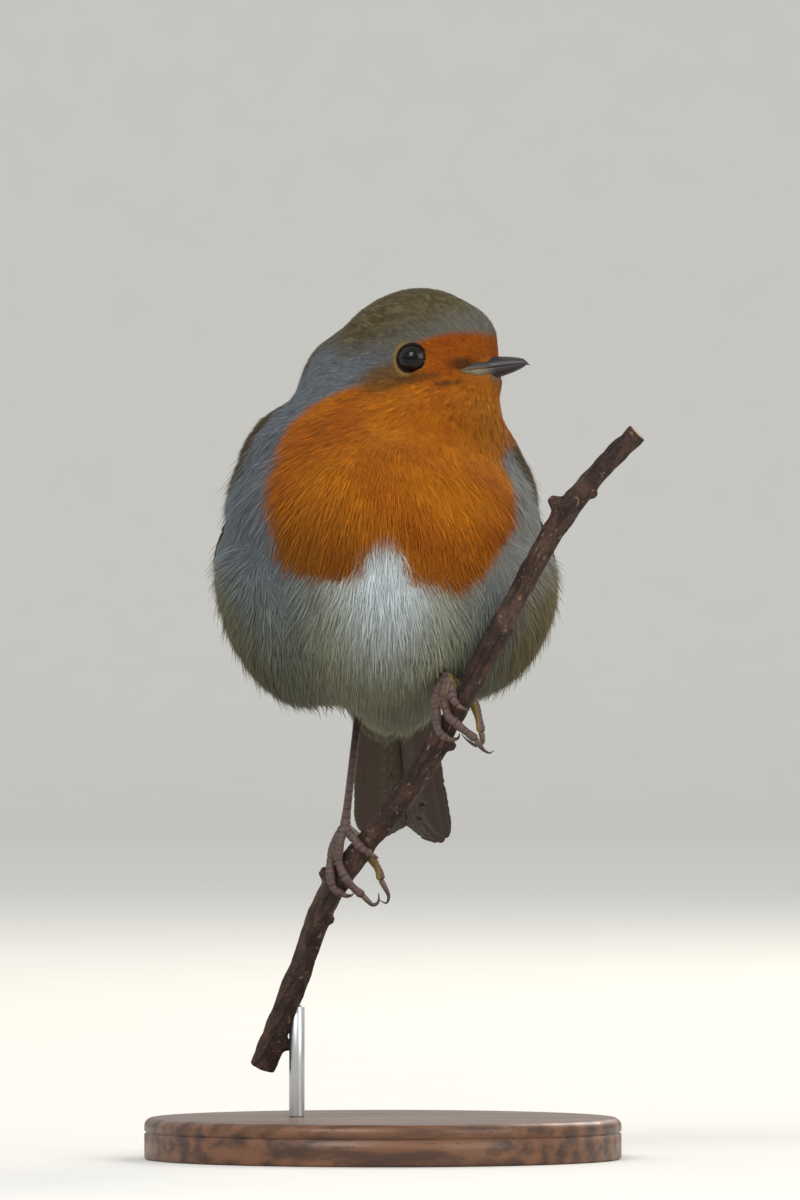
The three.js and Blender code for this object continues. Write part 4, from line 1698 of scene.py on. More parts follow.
@dataclass(frozen=True)
class TuftShape:
    """A small feather's free end: a fan of narrow barbs."""

    barbs: int = 7
    spread: float = 0.27
    width: float = 0.045
    rise: float = 0.05
    ragged: float = 0.07
    variants: int = 6
    steps: int = 2

    def variant(self, name: str, rng: Draws) -> Piece:
        """Makes one tuft, 1 m long, along +X with its outer side to +Z.

        Args:
            name: Its name.
            rng: Draws how its barbs differ.

        Returns:
            The tuft.
        """
        parts = MeshParts()
        for k in range(self.barbs):
            aside = lerp(-1, 1, k / (self.barbs - 1))
            reach = 1 - 0.3 * aside**2 + rng.normal(0, self.ragged)
            t = np.linspace(0, 1, self.steps + 1)
            x = 0.12 * abs(aside) + (reach - 0.12 * abs(aside)) * t
            y = self.spread * aside * t**0.8 + rng.normal(0, 0.02) * t + 0.03 * aside
            z = self.rise * np.sin(math.pi * 0.75 * t) + rng.normal(0, 0.018) * t + 0.02 * (k % 2)
            wide = self.width * np.array([0.7, *([1.0] * (self.steps - 1)), 0.0])
            wide = wide * (1 - 0.25 * t)
            tilt = rng.uniform(-0.5, 0.5)
            left = np.stack([x, y - wide / 2, z - tilt * wide / 2], 1)
            right = np.stack([x, y + wide / 2, z + tilt * wide / 2], 1)
            points = np.vstack([left[:-1], right[:-1], left[-1:]]) / MM
            n = self.steps
            faces = [[n + i, n + i + 1, i + 1, i] for i in range(n - 1)] + [[2 * n - 1, 2 * n, n - 1]]
            along = np.concatenate([t[:-1], t[:-1], [1.0]])
            shade = np.full(len(points), rng.uniform(-1, 1))
            patch = np.stack([points[:, 0] * MM - 0.5, points[:, 1] * MM, 0 * along], 1)
            parts.add(points, faces, strand=np.stack([along, shade, 0 * along], 1), patch=patch)
        return bpy.data.objects.new(name, parts.mesh(name))

    def collection(self, name: str) -> bpy.types.Collection:
        """Makes the variants in a collection outside the scene.

        Args:
            name: Its name.

        Returns:
            The collection.
        """
        rng = np.random.default_rng(3)
        made = bpy.data.collections.new(name)
        for k in range(self.variants):
            made.objects.link(self.variant(f"{name}_{k}", rng))
        return made


class Lay(Enum):
    """How a coat lies: the tuft's shape for each way."""

    FACE = TuftShape(barbs=7, spread=0.3, width=0.06, rise=0.04)
    SLEEK = TuftShape(barbs=8, spread=0.28, width=0.038, rise=0.05)
    SOFT = TuftShape(barbs=9, spread=0.28, width=0.025, rise=0.06, ragged=0.1)
    LOCK = TuftShape(barbs=5, spread=0.1, width=0.034, rise=0.07, ragged=0.1)
    WISP = TuftShape(barbs=3, spread=0.12, width=0.018, rise=0.04, ragged=0.15, steps=4)


@dataclass(frozen=True)
class CoatPart:
    """One stretch of the coat: its spacing in millimetres, its lift and scatter in degrees."""

    name: str
    lay: Lay
    spacing: float
    lift: float = 9
    scatter: float = 7
    longer: float = 1.0
    contrast: float = 1.0
    seed: int = 1


COAT = (
    CoatPart("face_coat", Lay.FACE, 0.27, 6, 5),
    CoatPart("crown_coat", Lay.SLEEK, 0.33, 6, 5),
    CoatPart("neck_coat", Lay.SLEEK, 0.43, 7, 6),
    CoatPart("breast_coat", Lay.SOFT, 0.46, 6, 6),
    CoatPart("belly_coat", Lay.SOFT, 0.47, 5, 6),
    CoatPart("flank_coat", Lay.SOFT, 0.47, 6, 6),
    CoatPart("back_coat", Lay.SLEEK, 0.5, 7, 6),
    CoatPart("vent_coat", Lay.SOFT, 0.47, 7, 7),
    CoatPart("head_locks", Lay.LOCK, 0.62, 8, 6, 1.2, 4.5),
    CoatPart("body_locks", Lay.LOCK, 1.0, 7, 6, 1.1, 2.2),
    CoatPart("wisps", Lay.WISP, 1.3, 12, 8, 1.3),
)


class CoatTree(Graph):
    """A geometry tree that sets tufts on a skin and turns them to the lie of the coat."""

    inputs = (
        ("Skin", "Geometry"), ("Spacing", "Float"), ("Tufts", "Collection"),
        ("Variants", "Int"), ("Lift", "Float"), ("Scatter", "Float"),
        ("Seed", "Int"), ("Contrast", "Float"), ("Finish", "Material"),
    )
    patch = 0.003

    def __init__(self) -> None:
        """Makes the tree with its named inputs."""
        super().__init__(bpy.data.node_groups.new("Coat", "GeometryNodeTree"))
        for name, kind in self.inputs:
            self.tree.interface.new_socket(name, in_out="INPUT", socket_type=f"NodeSocket{kind}")
        self.tree.interface.new_socket("Coat", in_out="OUTPUT", socket_type="NodeSocketGeometry")
        self.group = self.node("NodeGroupInput")

    def given(self, name: str) -> Wire:
        """One of the tree's inputs."""
        return self.out(self.group, name)

    def named(self, name: str, kind: str = "FLOAT_VECTOR") -> Wire:
        """A value stored on the geometry."""
        return self.get("GeometryNodeInputNamedAttribute", {"Name": name}, "Attribute", data_type=kind)

    def chance(self, low: float, high: float, step: int) -> Wire:
        """A random number between two others."""
        feeds = {"Min": low, "Max": high, "Seed": self.given("Seed") + step}
        return self.get("FunctionNodeRandomValue", feeds, "Value", data_type="FLOAT")

    def store(self, geometry: Wire, name: str, value: Feed, kind: str, domain: str = "POINT") -> Wire:
        """Geometry with a value stored under a name."""
        feeds = {"Geometry": geometry, "Name": name, "Value": value}
        return self.get("GeometryNodeStoreNamedAttribute", feeds, data_type=kind, domain=domain)

    def without(self, geometry: Wire, *names: str) -> Wire:
        """Geometry that has lost some of its values.

        Args:
            geometry: The geometry.
            *names: The values.

        Returns:
            The rest.
        """
        for name in names:
            geometry = self.get("GeometryNodeRemoveAttribute", {"Geometry": geometry, "Name": name})
        return geometry

    def roots(self) -> tuple[Wire, Wire]:
        """Scatters the roots of the tufts, with what each tuft carries.

        Returns:
            The roots and the skin's outward direction at each.
        """
        cover, size = self.named("cover", "FLOAT"), self.named("size", "FLOAT")
        grown = {"Geometry": self.given("Skin"), "Selection": self.math("GREATER_THAN", cover, 0.01)}
        spacing = self.given("Spacing")
        feeds = {
            "Mesh": self.get("GeometryNodeSeparateGeometry", grown, domain="FACE"),
            "Distance Min": spacing, "Density Max": 3.2 / (spacing * spacing),
            "Density Factor": cover, "Seed": self.given("Seed"),
        }
        made = self.node("GeometryNodeDistributePointsOnFaces", feeds, distribute_method="POISSON")
        along = self.scaled(self.named("lie"), size * 0.6)
        middle = self.vector("ADD", self.get("GeometryNodeInputPosition"), along)
        points = self.store(self.out(made, "Points"), "mark_at", middle, "FLOAT_VECTOR")
        points = self.store(points, "root_uv", self.named("OFBake"), "FLOAT_VECTOR")
        points = self.store(points, "shade", self.chance(-1, 1, 1) * self.given("Contrast"), "FLOAT")
        return self.store(points, "tuft", size, "FLOAT"), self.out(made, "Normal")

    def turned(self, normal: Wire) -> Wire:
        """Turns each tuft along the lie of the coat, raised and scattered.

        Args:
            normal: The skin's outward direction at each root.

        Returns:
            A rotation for each.
        """
        feeds = {"Primary Axis": normal, "Secondary Axis": self.named("lie")}
        flat = self.get("FunctionNodeAxesToRotation", feeds, primary_axis="Z", secondary_axis="X")
        spread = self.given("Scatter")
        raised = 0 - self.given("Lift") - self.named("raise", "FLOAT")
        angles = {
            "X": self.chance(-1, 1, 2) * spread * 1.4,
            "Y": raised - self.chance(-1, 1, 3) * spread * 0.7,
            "Z": self.chance(-1, 1, 4) * spread * 1.3,
        }
        euler = self.get("FunctionNodeEulerToRotation", {0: self.get("ShaderNodeCombineXYZ", angles)})
        turns = {"Rotation": flat, "Rotate By": euler}
        return self.get("FunctionNodeRotateRotation", turns, rotation_space="LOCAL")

    def placed(self, points: Wire, turn: Wire) -> Wire:
        """Puts one of the tufts on each root.

        Args:
            points: The roots.
            turn: The rotation of each tuft.

        Returns:
            The tufts as instances.
        """
        tufts = {"Collection": self.given("Tufts"), "Separate Children": True, "Reset Children": True}
        pick = {"Min": 0, "Max": self.given("Variants") - 1, "Seed": self.given("Seed") + 5}
        size = self.named("size", "FLOAT") * self.chance(0.8, 1.2, 6)
        feeds = {
            "Points": points, "Instance": self.get("GeometryNodeCollectionInfo", tufts),
            "Pick Instance": True,
            "Instance Index": self.get("FunctionNodeRandomValue", pick, "Value", data_type="INT"),
            "Rotation": turn, "Scale": self.scaled((1.0, 1.0, 1.0), size),
        }
        return self.get("GeometryNodeInstanceOnPoints", feeds)

    def build(self) -> bpy.types.NodeTree:
        """Joins the steps, and unwraps each tuft to a small patch at its root.

        Returns:
            The tree.
        """
        points, normal = self.roots()
        coat = self.placed(points, self.turned(normal))
        coat = self.without(coat, "OFBake", "lie", "size", "cover", "raise")
        coat = self.get("GeometryNodeRealizeInstances", {"Geometry": coat})
        unwrapped = self.vector("ADD", self.named("root_uv"), self.scaled(self.named("patch"), self.patch))
        coat = self.store(coat, "OFBake", unwrapped, "FLOAT2", "CORNER")
        dressed = {"Geometry": self.without(coat, "patch", "root_uv"), "Material": self.given("Finish")}
        self.node("NodeGroupOutput", {"Coat": self.get("GeometryNodeSetMaterial", dressed)})
        return self.tree


class Coat:
    """The feathers over the skin, grown by one geometry tree."""

    quick_spacing = 1.8
    from_eye = 2.75

    def __init__(self, skin: Piece, places: SkinPlaces, material: bpy.types.Material) -> None:
        """Builds the tree once for every part of the coat."""
        self.skin, self.places, self.material = skin, places, material
        self.tree = CoatTree().build()

    def part(self, part: CoatPart) -> Piece:
        """Grows one part of the coat.

        Args:
            part: Where it grows and how.

        Returns:
            The coat as a plain mesh.
        """
        s = self.places
        length = s.length() * part.longer * MM
        bare = (s.from_eye < self.from_eye) | (BILL.bare(s.head) > 0)
        cover = s.stretches()[part.name] * (1 - s.winged) * ~bare * smoothstep(s.from_twig, 2.6, 3.4)
        low = smoothstep(-s.normal[:, 2], 0.1, 0.9) * s.ventral
        mesh = self.skin.data.copy()
        raised = 0.07 * low + 0.13 * s.by_wing - 0.05 * s.under_wing
        for name, values in (("cover", cover), ("size", length), ("raise", raised), ("lie", s.lie)):
            write_attribute(mesh, name, values)
        obj = add_object(part.name, mesh)
        mesh.materials.clear()
        tufts = part.lay.value
        values = {
            "Spacing": part.spacing * MM * 1,
            "Tufts": tufts.collection(part.name + "_tufts"),
            "Variants": tufts.variants,
            "Lift": math.radians(part.lift),
            "Scatter": math.radians(part.scatter),
            "Seed": part.seed,
            "Contrast": part.contrast,
            "Finish": self.material,
        }
        modifier = obj.modifiers.new("Coat", "NODES")
        modifier.node_group = self.tree
        for socket in self.tree.interface.items_tree:
            if socket.in_out == "INPUT" and socket.name in values:
                modifier[socket.identifier] = values[socket.name]
        return settle_modifiers(obj)


# ---- Finishes ----


class Markings:
    """The colours of the plumage as masks over places on the bird."""

    orange = colour(168, 88, 12)
    orange_light = colour(190, 112, 18)
    rust = colour(148, 69, 12)
    grey = colour(108, 113, 118)
    # painted light for the left side of the grey breast border
    grey_painted_light = colour(136, 136, 132)
    temple = colour(108, 106, 98)
    white = colour(188, 197, 198)
    cream = colour(146, 147, 124)
    belly_side = colour(104, 113, 108)
    buff = colour(122, 101, 56)
    olive = colour(104, 93, 62)
    crown = colour(86, 76, 52)
    brown = colour(94, 81, 53)
    mantle = colour(78, 66, 45)
    moss = colour(100, 95, 68)
    ring = colour(152, 122, 66)
    # dusky feathers and painted shade round the eye and the gape
    dusky_and_painted_shade = colour(62, 42, 24)
    ear = colour(116, 80, 34)
    # painted shade for the bottom of the bib
    bib_painted_shade = colour(106, 63, 14)
    # painted light: a warm glow for the left of the upper bib
    painted_warm_light = colour(164, 106, 22)
    streak = colour(114, 102, 74)

    def __init__(self, g: Graph, place: Wire) -> None:
        """Measures places in millimetres, in the bird's frame and in the head's.

        Args:
            g: The tree of the finish.
            place: The place in metres.
        """
        self.g = g
        self.at = g.scaled(place, 1 / MM)
        offset = g.vector("SUBTRACT", self.at, HEAD.at)
        rows = [g.measure("DOT_PRODUCT", offset, tuple(axis)) for axis in HEAD.axes()]
        self.head = g.get("ShaderNodeCombineXYZ", dict(enumerate(rows)))
        self.forward, self.left, self.up = rows
        self.wobble = (g.noise(place, 420) - 0.5) * 0.34 + (g.noise(place, 140, 1) - 0.5) * 0.3
        self.lumps = g.noise(place, 90, 2)
        self.x, self.y, self.z = g.parts(self.at)
        self.on_head = self.blob((0, 0, 0), (19, 15, 15), 0.12, True)

    def blob(self, centre: Numbers, radii: Numbers, soft: float = 0.12, head: bool = False) -> Wire:
        """A mask that is 1 inside an ellipsoid, with a soft, uneven border.

        Args:
            centre: Its middle.
            radii: Its radii.
            soft: Half of the border, as a share of the radii.
            head: Whether it is in the head's frame.

        Returns:
            The mask.
        """
        place = self.head if head else self.at
        offset = self.g.vector("SUBTRACT", place, tuple(centre))
        scaled = self.g.vector("DIVIDE", offset, tuple(radii))
        distance = self.g.measure("LENGTH", scaled) + self.wobble * soft * 2
        return 1 - self.g.smooth(distance, 1 - soft, 1 + soft)

    def both(self, centre: Numbers, radii: Numbers, soft: float = 0.12) -> Wire:
        """The same on both sides of the head."""
        x, y, z = centre
        return self.most(self.blob((x, y, z), radii, soft, True), self.blob((x, -y, z), radii, soft, True))

    def most(self, *masks: Wire) -> Wire:
        """The largest of several masks.

        Args:
            *masks: The masks.

        Returns:
            The largest at each place.
        """
        result = masks[0]
        for mask in masks[1:]:
            result = self.g.math("MAXIMUM", result, mask)
        return result

    def paint(self) -> Wire:
        """The colour of the plumage at a place.

        Returns:
            The colour.
        """
        g, y, z = self.g, self.y, self.z
        dorsal = g.smooth(0.8 * y + 0.55 * (z - 105) + 5 * self.wobble, 9, 17)
        above_vent = z - 95 + 0.84 * (y - 31) + 2 * self.wobble
        under_tail = g.smooth(y, 16, 24) * (1 - g.smooth(above_vent, -3, 0.5))
        dorsal = dorsal * (1 - under_tail)
        vent = g.smooth(y, 8, 20) * (1 - dorsal)
        belly = g.mix(vent * 0.8, self.belly(), self.cream)
        back = g.mix(g.smooth(self.lumps, 0.35, 0.65), self.olive, self.brown)
        paint = self.hood(g.mix(dorsal, belly, back))
        paint = g.mix(self.bib(), paint, self.warm())
        ear = self.both((-4.6, 11, -4.4), (5.6, 6, 2.8), 0.4)
        paint = g.mix(ear * 0.85, paint, self.ear)
        # painted shade under the eye and along the crease behind the gape; the malar and lore marks are
        # partly the face's own dusky feathers and partly painted shade
        under_eye_shade = self.both((2.2, 10, -5.0), (4.6, 5, 1.2), 0.5)
        malar_dark_and_shade = self.both((7.0, 7.0, -6.9), (3.0, 3, 0.7), 0.4)
        lore_dark_and_shade = self.both((9.7, 5.6, -3.1), (2.6, 2.8, 1.2), 0.5)
        paint = g.mix(self.most(under_eye_shade * 0.6, malar_dark_and_shade * 0.75, lore_dark_and_shade * 0.75), paint, self.dusky_and_painted_shade)
        return g.mix(self.eye_ring(), paint, self.ring)

    def belly(self) -> Wire:
        """A whitish belly between olive-buff flanks, and blue-grey sides of the breast, with painted shade
        low on the belly and painted light on the left side of the breast.

        Returns:
            The colour.
        """
        g, x, y, z = self.g, self.x, self.y, self.z
        side = g.smooth(g.math("ABSOLUTE", x - 1.5) + 6 * self.wobble, 8, 22)
        low = 1 - g.smooth(z + 5 * self.wobble, 92, 112)
        belly = g.mix(side, self.cream, self.belly_side)
        belly = g.mix(self.blob((0.6, -31, 110.5), (8.2, 22, 13.5), 0.7), belly, self.white)
        sideways = g.math("ABSOLUTE", x + 2) + 0.5 * g.math("MAXIMUM", y + 4, -4) + 0.3 * (104 - z)
        flank = g.smooth(sideways + 5 * self.wobble, 20, 31)
        flank = flank * (1 - g.smooth(z + 6 * self.wobble, 107, 124))
        belly = g.mix(g.math("MAXIMUM", flank, 0.3 * low * side), belly, self.buff)
        outer = g.smooth(g.math("ABSOLUTE", x - 0.8) + 0.45 * (106 - z) + 5 * self.wobble, 24.5, 30)
        outer = outer * (1 - g.smooth(z + 5 * self.wobble, 112, 121)) * (1 - g.smooth(y, 0, 10))
        belly = g.mix(outer * 0.8, belly, self.moss)
        # painted shade: the belly darkens towards its bottom
        belly = g.scaled(belly, 0.62 + 0.38 * g.smooth(z + 4 * self.wobble, 86, 114))
        breast_side = g.smooth(z + 8 * self.wobble, 97, 123) * g.smooth(g.math("ABSOLUTE", x - 1), 6, 17)
        breast_side = breast_side * (1 - g.smooth(y + 6 * self.wobble, -12, 2))
        breast_side = breast_side * (1 - 0.85 * outer)
        # painted light: the grey sides of the breast are lighter on the bird's left
        return g.mix(breast_side, belly, g.mix(g.smooth(x, 6, 24), self.grey, self.grey_painted_light))

    def hood(self, paint: Wire) -> Wire:
        """Adds the shoulders, the grey border of the bib and the brown crown.

        Args:
            paint: The colour of the body.

        Returns:
            The colour with them.
        """
        g, x, y, z = self.g, self.x, self.y, self.z
        ruff = self.blob((-2, -6, 138), (27, 24, 20), 0.16)
        nape = g.smooth(y + 0.25 * (z - 140), 1, 9)
        shoulder = self.most(*(self.blob((k * 25, 5, 131), (9, 11.5, 13), 0.25) for k in SIDES.values()))
        paint = g.mix(shoulder, paint, self.brown)
        bend = g.math("ABSOLUTE", x + 0.5) + 0.5 * (z - 130) + 0.35 * (y + 4) + 2 * self.wobble
        bend = g.smooth(bend, 25.6, 27.4) * g.smooth(z, 118, 124)
        paint = g.mix(ruff * (1 - nape) * (1 - shoulder), paint, self.grey)
        paint = g.mix(bend * (1 - g.smooth(y, -3, 7)), paint, self.mantle)
        cap = g.smooth(self.up - 0.22 * self.forward + 6 * self.wobble, 0.5, 8)
        cheek = g.mix(g.smooth(self.forward, -12, 2), self.grey, self.temple)
        paint = g.mix(self.on_head * (1 - nape * 0.6), paint, cheek)
        rows = g.noise(g.vector("MULTIPLY", self.head, (0.22, 1.5, 1.5)), 1.1, 2)
        crown = g.mix(g.smooth(rows, 0.42, 0.68), self.crown, self.streak)
        return g.mix(self.on_head * cap, paint, crown)

    def bib(self) -> Wire:
        """Where the face, throat and breast are orange, round the pale notch below.

        Returns:
            The mask.
        """
        bib = self.most(
            self.blob((2.6, -24, 127.5), (24.6, 22, 18.5), 0.06),
            self.blob((-9.5, -24, 118.5), (10.8, 20, 7.8), 0.12),
            self.blob((13.2, -24, 117), (9.4, 20, 8.2), 0.14),
            self.blob((2.2, -18, 137), (22.4, 17, 13.5), 0.07),
            self.blob((6.4, 0, -2.0), (11.6, 14, 5.6), 0.12, True),
            self.blob((4.5, 0, -9.5), (10.5, 17, 8.2), 0.1, True),
            self.blob((1, -4, -15), (15, 20, 11), 0.1, True),
        )
        return bib * (1 - self.blob((0.2, -34, 104.5), (5.6, 16, 14), 0.18))

    def warm(self) -> Wire:
        """The bib's orange: rusty on the face, with painted shade below and towards its right side, and a
        painted warm light on its left.

        Returns:
            The colour.
        """
        g, x, z = self.g, self.x, self.z
        warm = g.mix(g.smooth(self.lumps, 0.3, 0.7), self.orange, self.orange_light)
        # painted shade: the bib darkens towards its bottom and its right side, as if lit from above
        deep = 1 - g.smooth(z + 0.35 * x + 9 * self.wobble, 106, 131)
        warm = g.mix(deep * 0.8, warm, self.bib_painted_shade)
        # painted light: a warm golden glow on the left side of the upper bib and throat
        warm = g.mix(g.smooth(x, 10, 20) * g.smooth(z, 128, 142) * 0.6, warm, self.painted_warm_light)
        face = g.smooth(self.up + self.forward * 0.35, -6, 3)
        return g.mix(face * self.on_head * 0.75, warm, self.rust)

    def eye_ring(self) -> Wire:
        """The pale feathers round the eye, widest behind it.

        Returns:
            The mask of both rings.
        """
        g = self.g
        rings = []
        for eye in EYES:
            offset = g.vector("SUBTRACT", self.at, tuple(eye.centre))
            depth = g.measure("DOT_PRODUCT", offset, tuple(eye.axis))
            back = g.measure("DOT_PRODUCT", offset, tuple(-HEAD.axes()[0]))
            flat = g.vector("SUBTRACT", offset, g.scaled(tuple(eye.axis), depth))
            edge = g.measure("LENGTH", flat) - g.smooth(back, -2.5, 3) * 1.0
            ring = (1 - g.smooth(edge + 1.2 * self.wobble, 2.7, 3.4)) * g.smooth(depth, 0, 0.6)
            rings.append(ring * (0.14 + 0.86 * g.smooth(back, -0.8, 2.2)))
        return self.most(*rings)


@dataclass(frozen=True)
class SkinFinish(Finish):
    """Skin and down under the coat, with the coat's own markings."""

    def feeds(self, g: Graph) -> Feeds:
        """The markings, a little darker than the feathers over them.

        Args:
            g: The material's tree.

        Returns:
            The feeds.
        """
        place = g.place()
        paint = Markings(g, place).paint()
        down = g.noise(place, 2600, 3)
        shade = g.mix(0.16 + 0.25 * down, paint, (0.02, 0.015, 0.012, 1))
        return {"Base Color": shade, "Normal": g.bump(down, 0.3, 0.8)}


@dataclass(frozen=True)
class CoatFinish(Finish):
    """Feathers: the markings at each tuft, with painted shade towards the roots (partly the grey feather
    bases) and varied between barbs.
    """

    def feeds(self, g: Graph) -> Feeds:
        """The markings where a tuft shows, with painted shade towards its root and varied between its
        barbs.

        Args:
            g: The material's tree.

        Returns:
            The feeds.
        """
        place = g.attribute("mark_at", "Vector")
        along, barb, _ = g.parts(g.attribute("strand", "Vector"))
        shade = g.attribute("shade")
        paint = Markings(g, place).paint()
        # painted shade: each tuft darkens towards its root, partly the grey feather base and partly shade
        # between the tufts
        light = 0.75 + 0.19 * along + 0.08 * barb + 0.08 * shade
        lit = g.scaled(paint, light)
        return {"Base Color": lit}


@dataclass(frozen=True)
class VaneFinish(Finish):
    """Long feathers: brown vanes with fine barbs, a dark shaft and olive fringes."""

    vane: Tone = colour(80, 65, 45)
    dark: Tone = colour(56, 44, 32)
    fringe: Tone = colour(106, 92, 58)
    spot: Tone = colour(158, 126, 76)
    shaft: Tone = colour(60, 42, 30)
    olive: float = 1.0

    def feeds(self, g: Graph) -> Feeds:
        """Barbs slant forward from the shaft; the fringe lies on the outer edge.

        Args:
            g: The material's tree.

        Returns:
            The feeds.
        """
        across, along, share = g.parts(g.attribute("vane", "Vector"))
        fringe, spot, shade = g.parts(g.attribute("tint", "Vector"))
        edge = g.math("ABSOLUTE", across)
        ripple = g.noise(g.place(), 900, 2)
        slant = along - edge * 2.4 + ripple * 0.35
        barbs = g.math("SINE", slant * (2 * math.pi / 0.42)) * 0.5 + 0.5
        body = g.mix(0.35 + 0.3 * ripple + 0.2 * shade, self.vane, self.dark)
        border = g.smooth(edge + 0.25 * (ripple - 0.5), 0.5, 0.95)
        paint = g.mix(border * fringe * self.olive, body, self.fringe)
        cover = g.smooth(share, 0.1, 0.5)
        paint = g.mix(cover * fringe * 0.45 * self.olive, paint, self.fringe)
        tip = g.smooth(share + 0.1 * (ripple - 0.5), 0.86, 0.95)
        paint = g.mix(tip * spot * 0.6, paint, self.spot)
        quill = 1 - g.smooth(edge, 0.04, 0.09)
        paint = g.mix(quill * 0.7, paint, self.shaft)
        paint = g.scaled(paint, 0.9 + 0.22 * barbs + 0.08 * shade)
        return {"Base Color": paint, "Normal": g.bump(barbs, 0.05, 0.6)}


@dataclass(frozen=True)
class BillFinish(Finish):
    """Dark horn, paler at the base of the lower half and along the cutting edges."""

    horn: Tone = colour(40, 33, 36)
    pale: Tone = colour(118, 110, 80)
    lower: bool = False

    def feeds(self, g: Graph) -> Feeds:
        """Fine growth lines along the horn.

        Args:
            g: The material's tree.

        Returns:
            The feeds.
        """
        ahead, _, up = g.parts(g.attribute("spot", "Vector"))
        place = g.place()
        lines = g.noise(g.vector("MULTIPLY", place, (1, 1, 4)), 1500, 3)
        base = 1 - g.smooth(ahead + 2 * (lines - 0.5), 12.2, 15.6)
        if self.lower:
            reach = base * g.smooth(up, -6.3, -4.8)
        else:
            reach = base * (1 - g.smooth(up, -4.2, -3.6)) * 0.5
        paint = g.mix(reach, self.horn, self.pale)
        paint = g.mix(0.3 * lines, paint, (0.01, 0.008, 0.008, 1))
        return {"Base Color": paint, "Roughness": 0.3 + 0.25 * lines, "Normal": g.bump(lines, 0.04, 0.5)}


@dataclass(frozen=True)
class EyeFinish(Finish):
    """A wet dark eye: a black pupil in a deep brown iris."""

    def feeds(self, g: Graph) -> Feeds:
        """Colour by the distance from the eye's axis.

        Args:
            g: The material's tree.

        Returns:
            The feeds.
        """
        radius = g.attribute("from_axis")
        fibre = g.noise(g.place(), 2400, 3)
        iris = g.mix(fibre, colour(14, 9, 7), colour(27, 16, 11))
        return {"Base Color": g.mix(g.smooth(radius, 1.35, 1.6), (0.002, 0.0015, 0.001, 1), iris)}


@dataclass(frozen=True)
class LidFinish(Finish):
    """Bare dark lids with a beaded edge."""

    def feeds(self, g: Graph) -> Feeds:
        """Nearly black skin, mottled.

        Args:
            g: The material's tree.

        Returns:
            The feeds.
        """
        mottle = g.noise(g.place(), 3000, 3)
        return {
            "Base Color": g.mix(mottle, colour(12, 9, 8), colour(27, 21, 16)),
            "Normal": g.bump(mottle, 0.06, 0.6),
        }


@dataclass(frozen=True)
class LegFinish(Finish):
    """Horny scutes with dark joints, and olive-yellow soles."""

    scute: Tone = colour(98, 76, 70)
    deep: Tone = colour(62, 46, 45)
    sole: Tone = colour(138, 114, 56)

    def feeds(self, g: Graph) -> Feeds:
        """Colour by side, darker in the grooves.

        Args:
            g: The material's tree.

        Returns:
            The feeds.
        """
        place = g.place()
        mottle = g.noise(place, 1300, 3)
        paint = g.mix(mottle, self.scute, self.deep)
        paint = g.mix(g.attribute("sole") * 0.85, paint, self.sole)
        paint = g.mix(g.attribute("groove") * 0.75, paint, colour(48, 32, 27))
        fine = g.noise(place, 6000, 2)
        return {"Base Color": paint, "Roughness": 0.42 + 0.2 * mottle, "Normal": g.bump(fine, 0.02, 0.5)}


@dataclass(frozen=True)
class ClawFinish(Finish):
    """Dark horn that thins to a paler tip."""

    def feeds(self, g: Graph) -> Feeds:
        """Brown at the root, nearly black further out.

        Args:
            g: The material's tree.

        Returns:
            The feeds.
        """
        share = g.attribute("share")
        streak = g.noise(g.place(), 2600, 2)
        paint = g.mix(g.smooth(share, 0.0, 0.5), colour(88, 66, 52), colour(34, 28, 26))
        return {"Base Color": g.mix(0.25 * streak, paint, colour(120, 98, 78))}


@dataclass(frozen=True)
class BarkFinish(Finish):
    """Purple-brown bark with pale specks and thin cracks along it, and pale sawn ends."""

    grain: tuple[float, ...] = (0.488, -0.278, 0.827)

    def feeds(self, g: Graph) -> Feeds:
        """Streaks run along the twig.

        Args:
            g: The material's tree.

        Returns:
            The feeds.
        """
        cut = g.attribute("cut")
        place = g.place()
        coarse = g.noise(place, 260, 4)
        fine = g.noise(place, 1700, 4)
        paint = g.mix(g.smooth(coarse, 0.35, 0.65), colour(70, 48, 39), colour(42, 29, 25))
        paint = g.mix(g.smooth(fine, 0.45, 0.7) * 0.7, paint, colour(30, 21, 19))
        grey = g.smooth(g.noise(place, 120, 3), 0.52, 0.7)
        paint = g.mix(grey * 0.3, paint, colour(96, 80, 68))
        specks = g.smooth(g.noise(place, 900, 1), 0.66, 0.72)
        paint = g.mix(specks * 0.65, paint, colour(124, 100, 78))
        wood = g.mix(fine, colour(196, 168, 122), colour(160, 128, 86))
        paint = g.mix(g.smooth(cut, 0.55, 0.75), paint, wood)
        ahead = g.measure("DOT_PRODUCT", place, self.grain)
        streaks = g.noise(g.vector("SUBTRACT", place, g.scaled(self.grain, ahead * 0.9)), 1300, 4)
        cracks = g.smooth(streaks, 0.52, 0.66) * (1 - g.smooth(cut, 0.55, 0.75))
        paint = g.mix(cracks * 0.65, paint, colour(24, 17, 15))
        height = fine * 0.35 + coarse * 0.3 - cracks * 0.5
        return {"Base Color": paint, "Roughness": 0.7 + 0.2 * fine, "Normal": g.bump(height, 0.5, 0.9)}


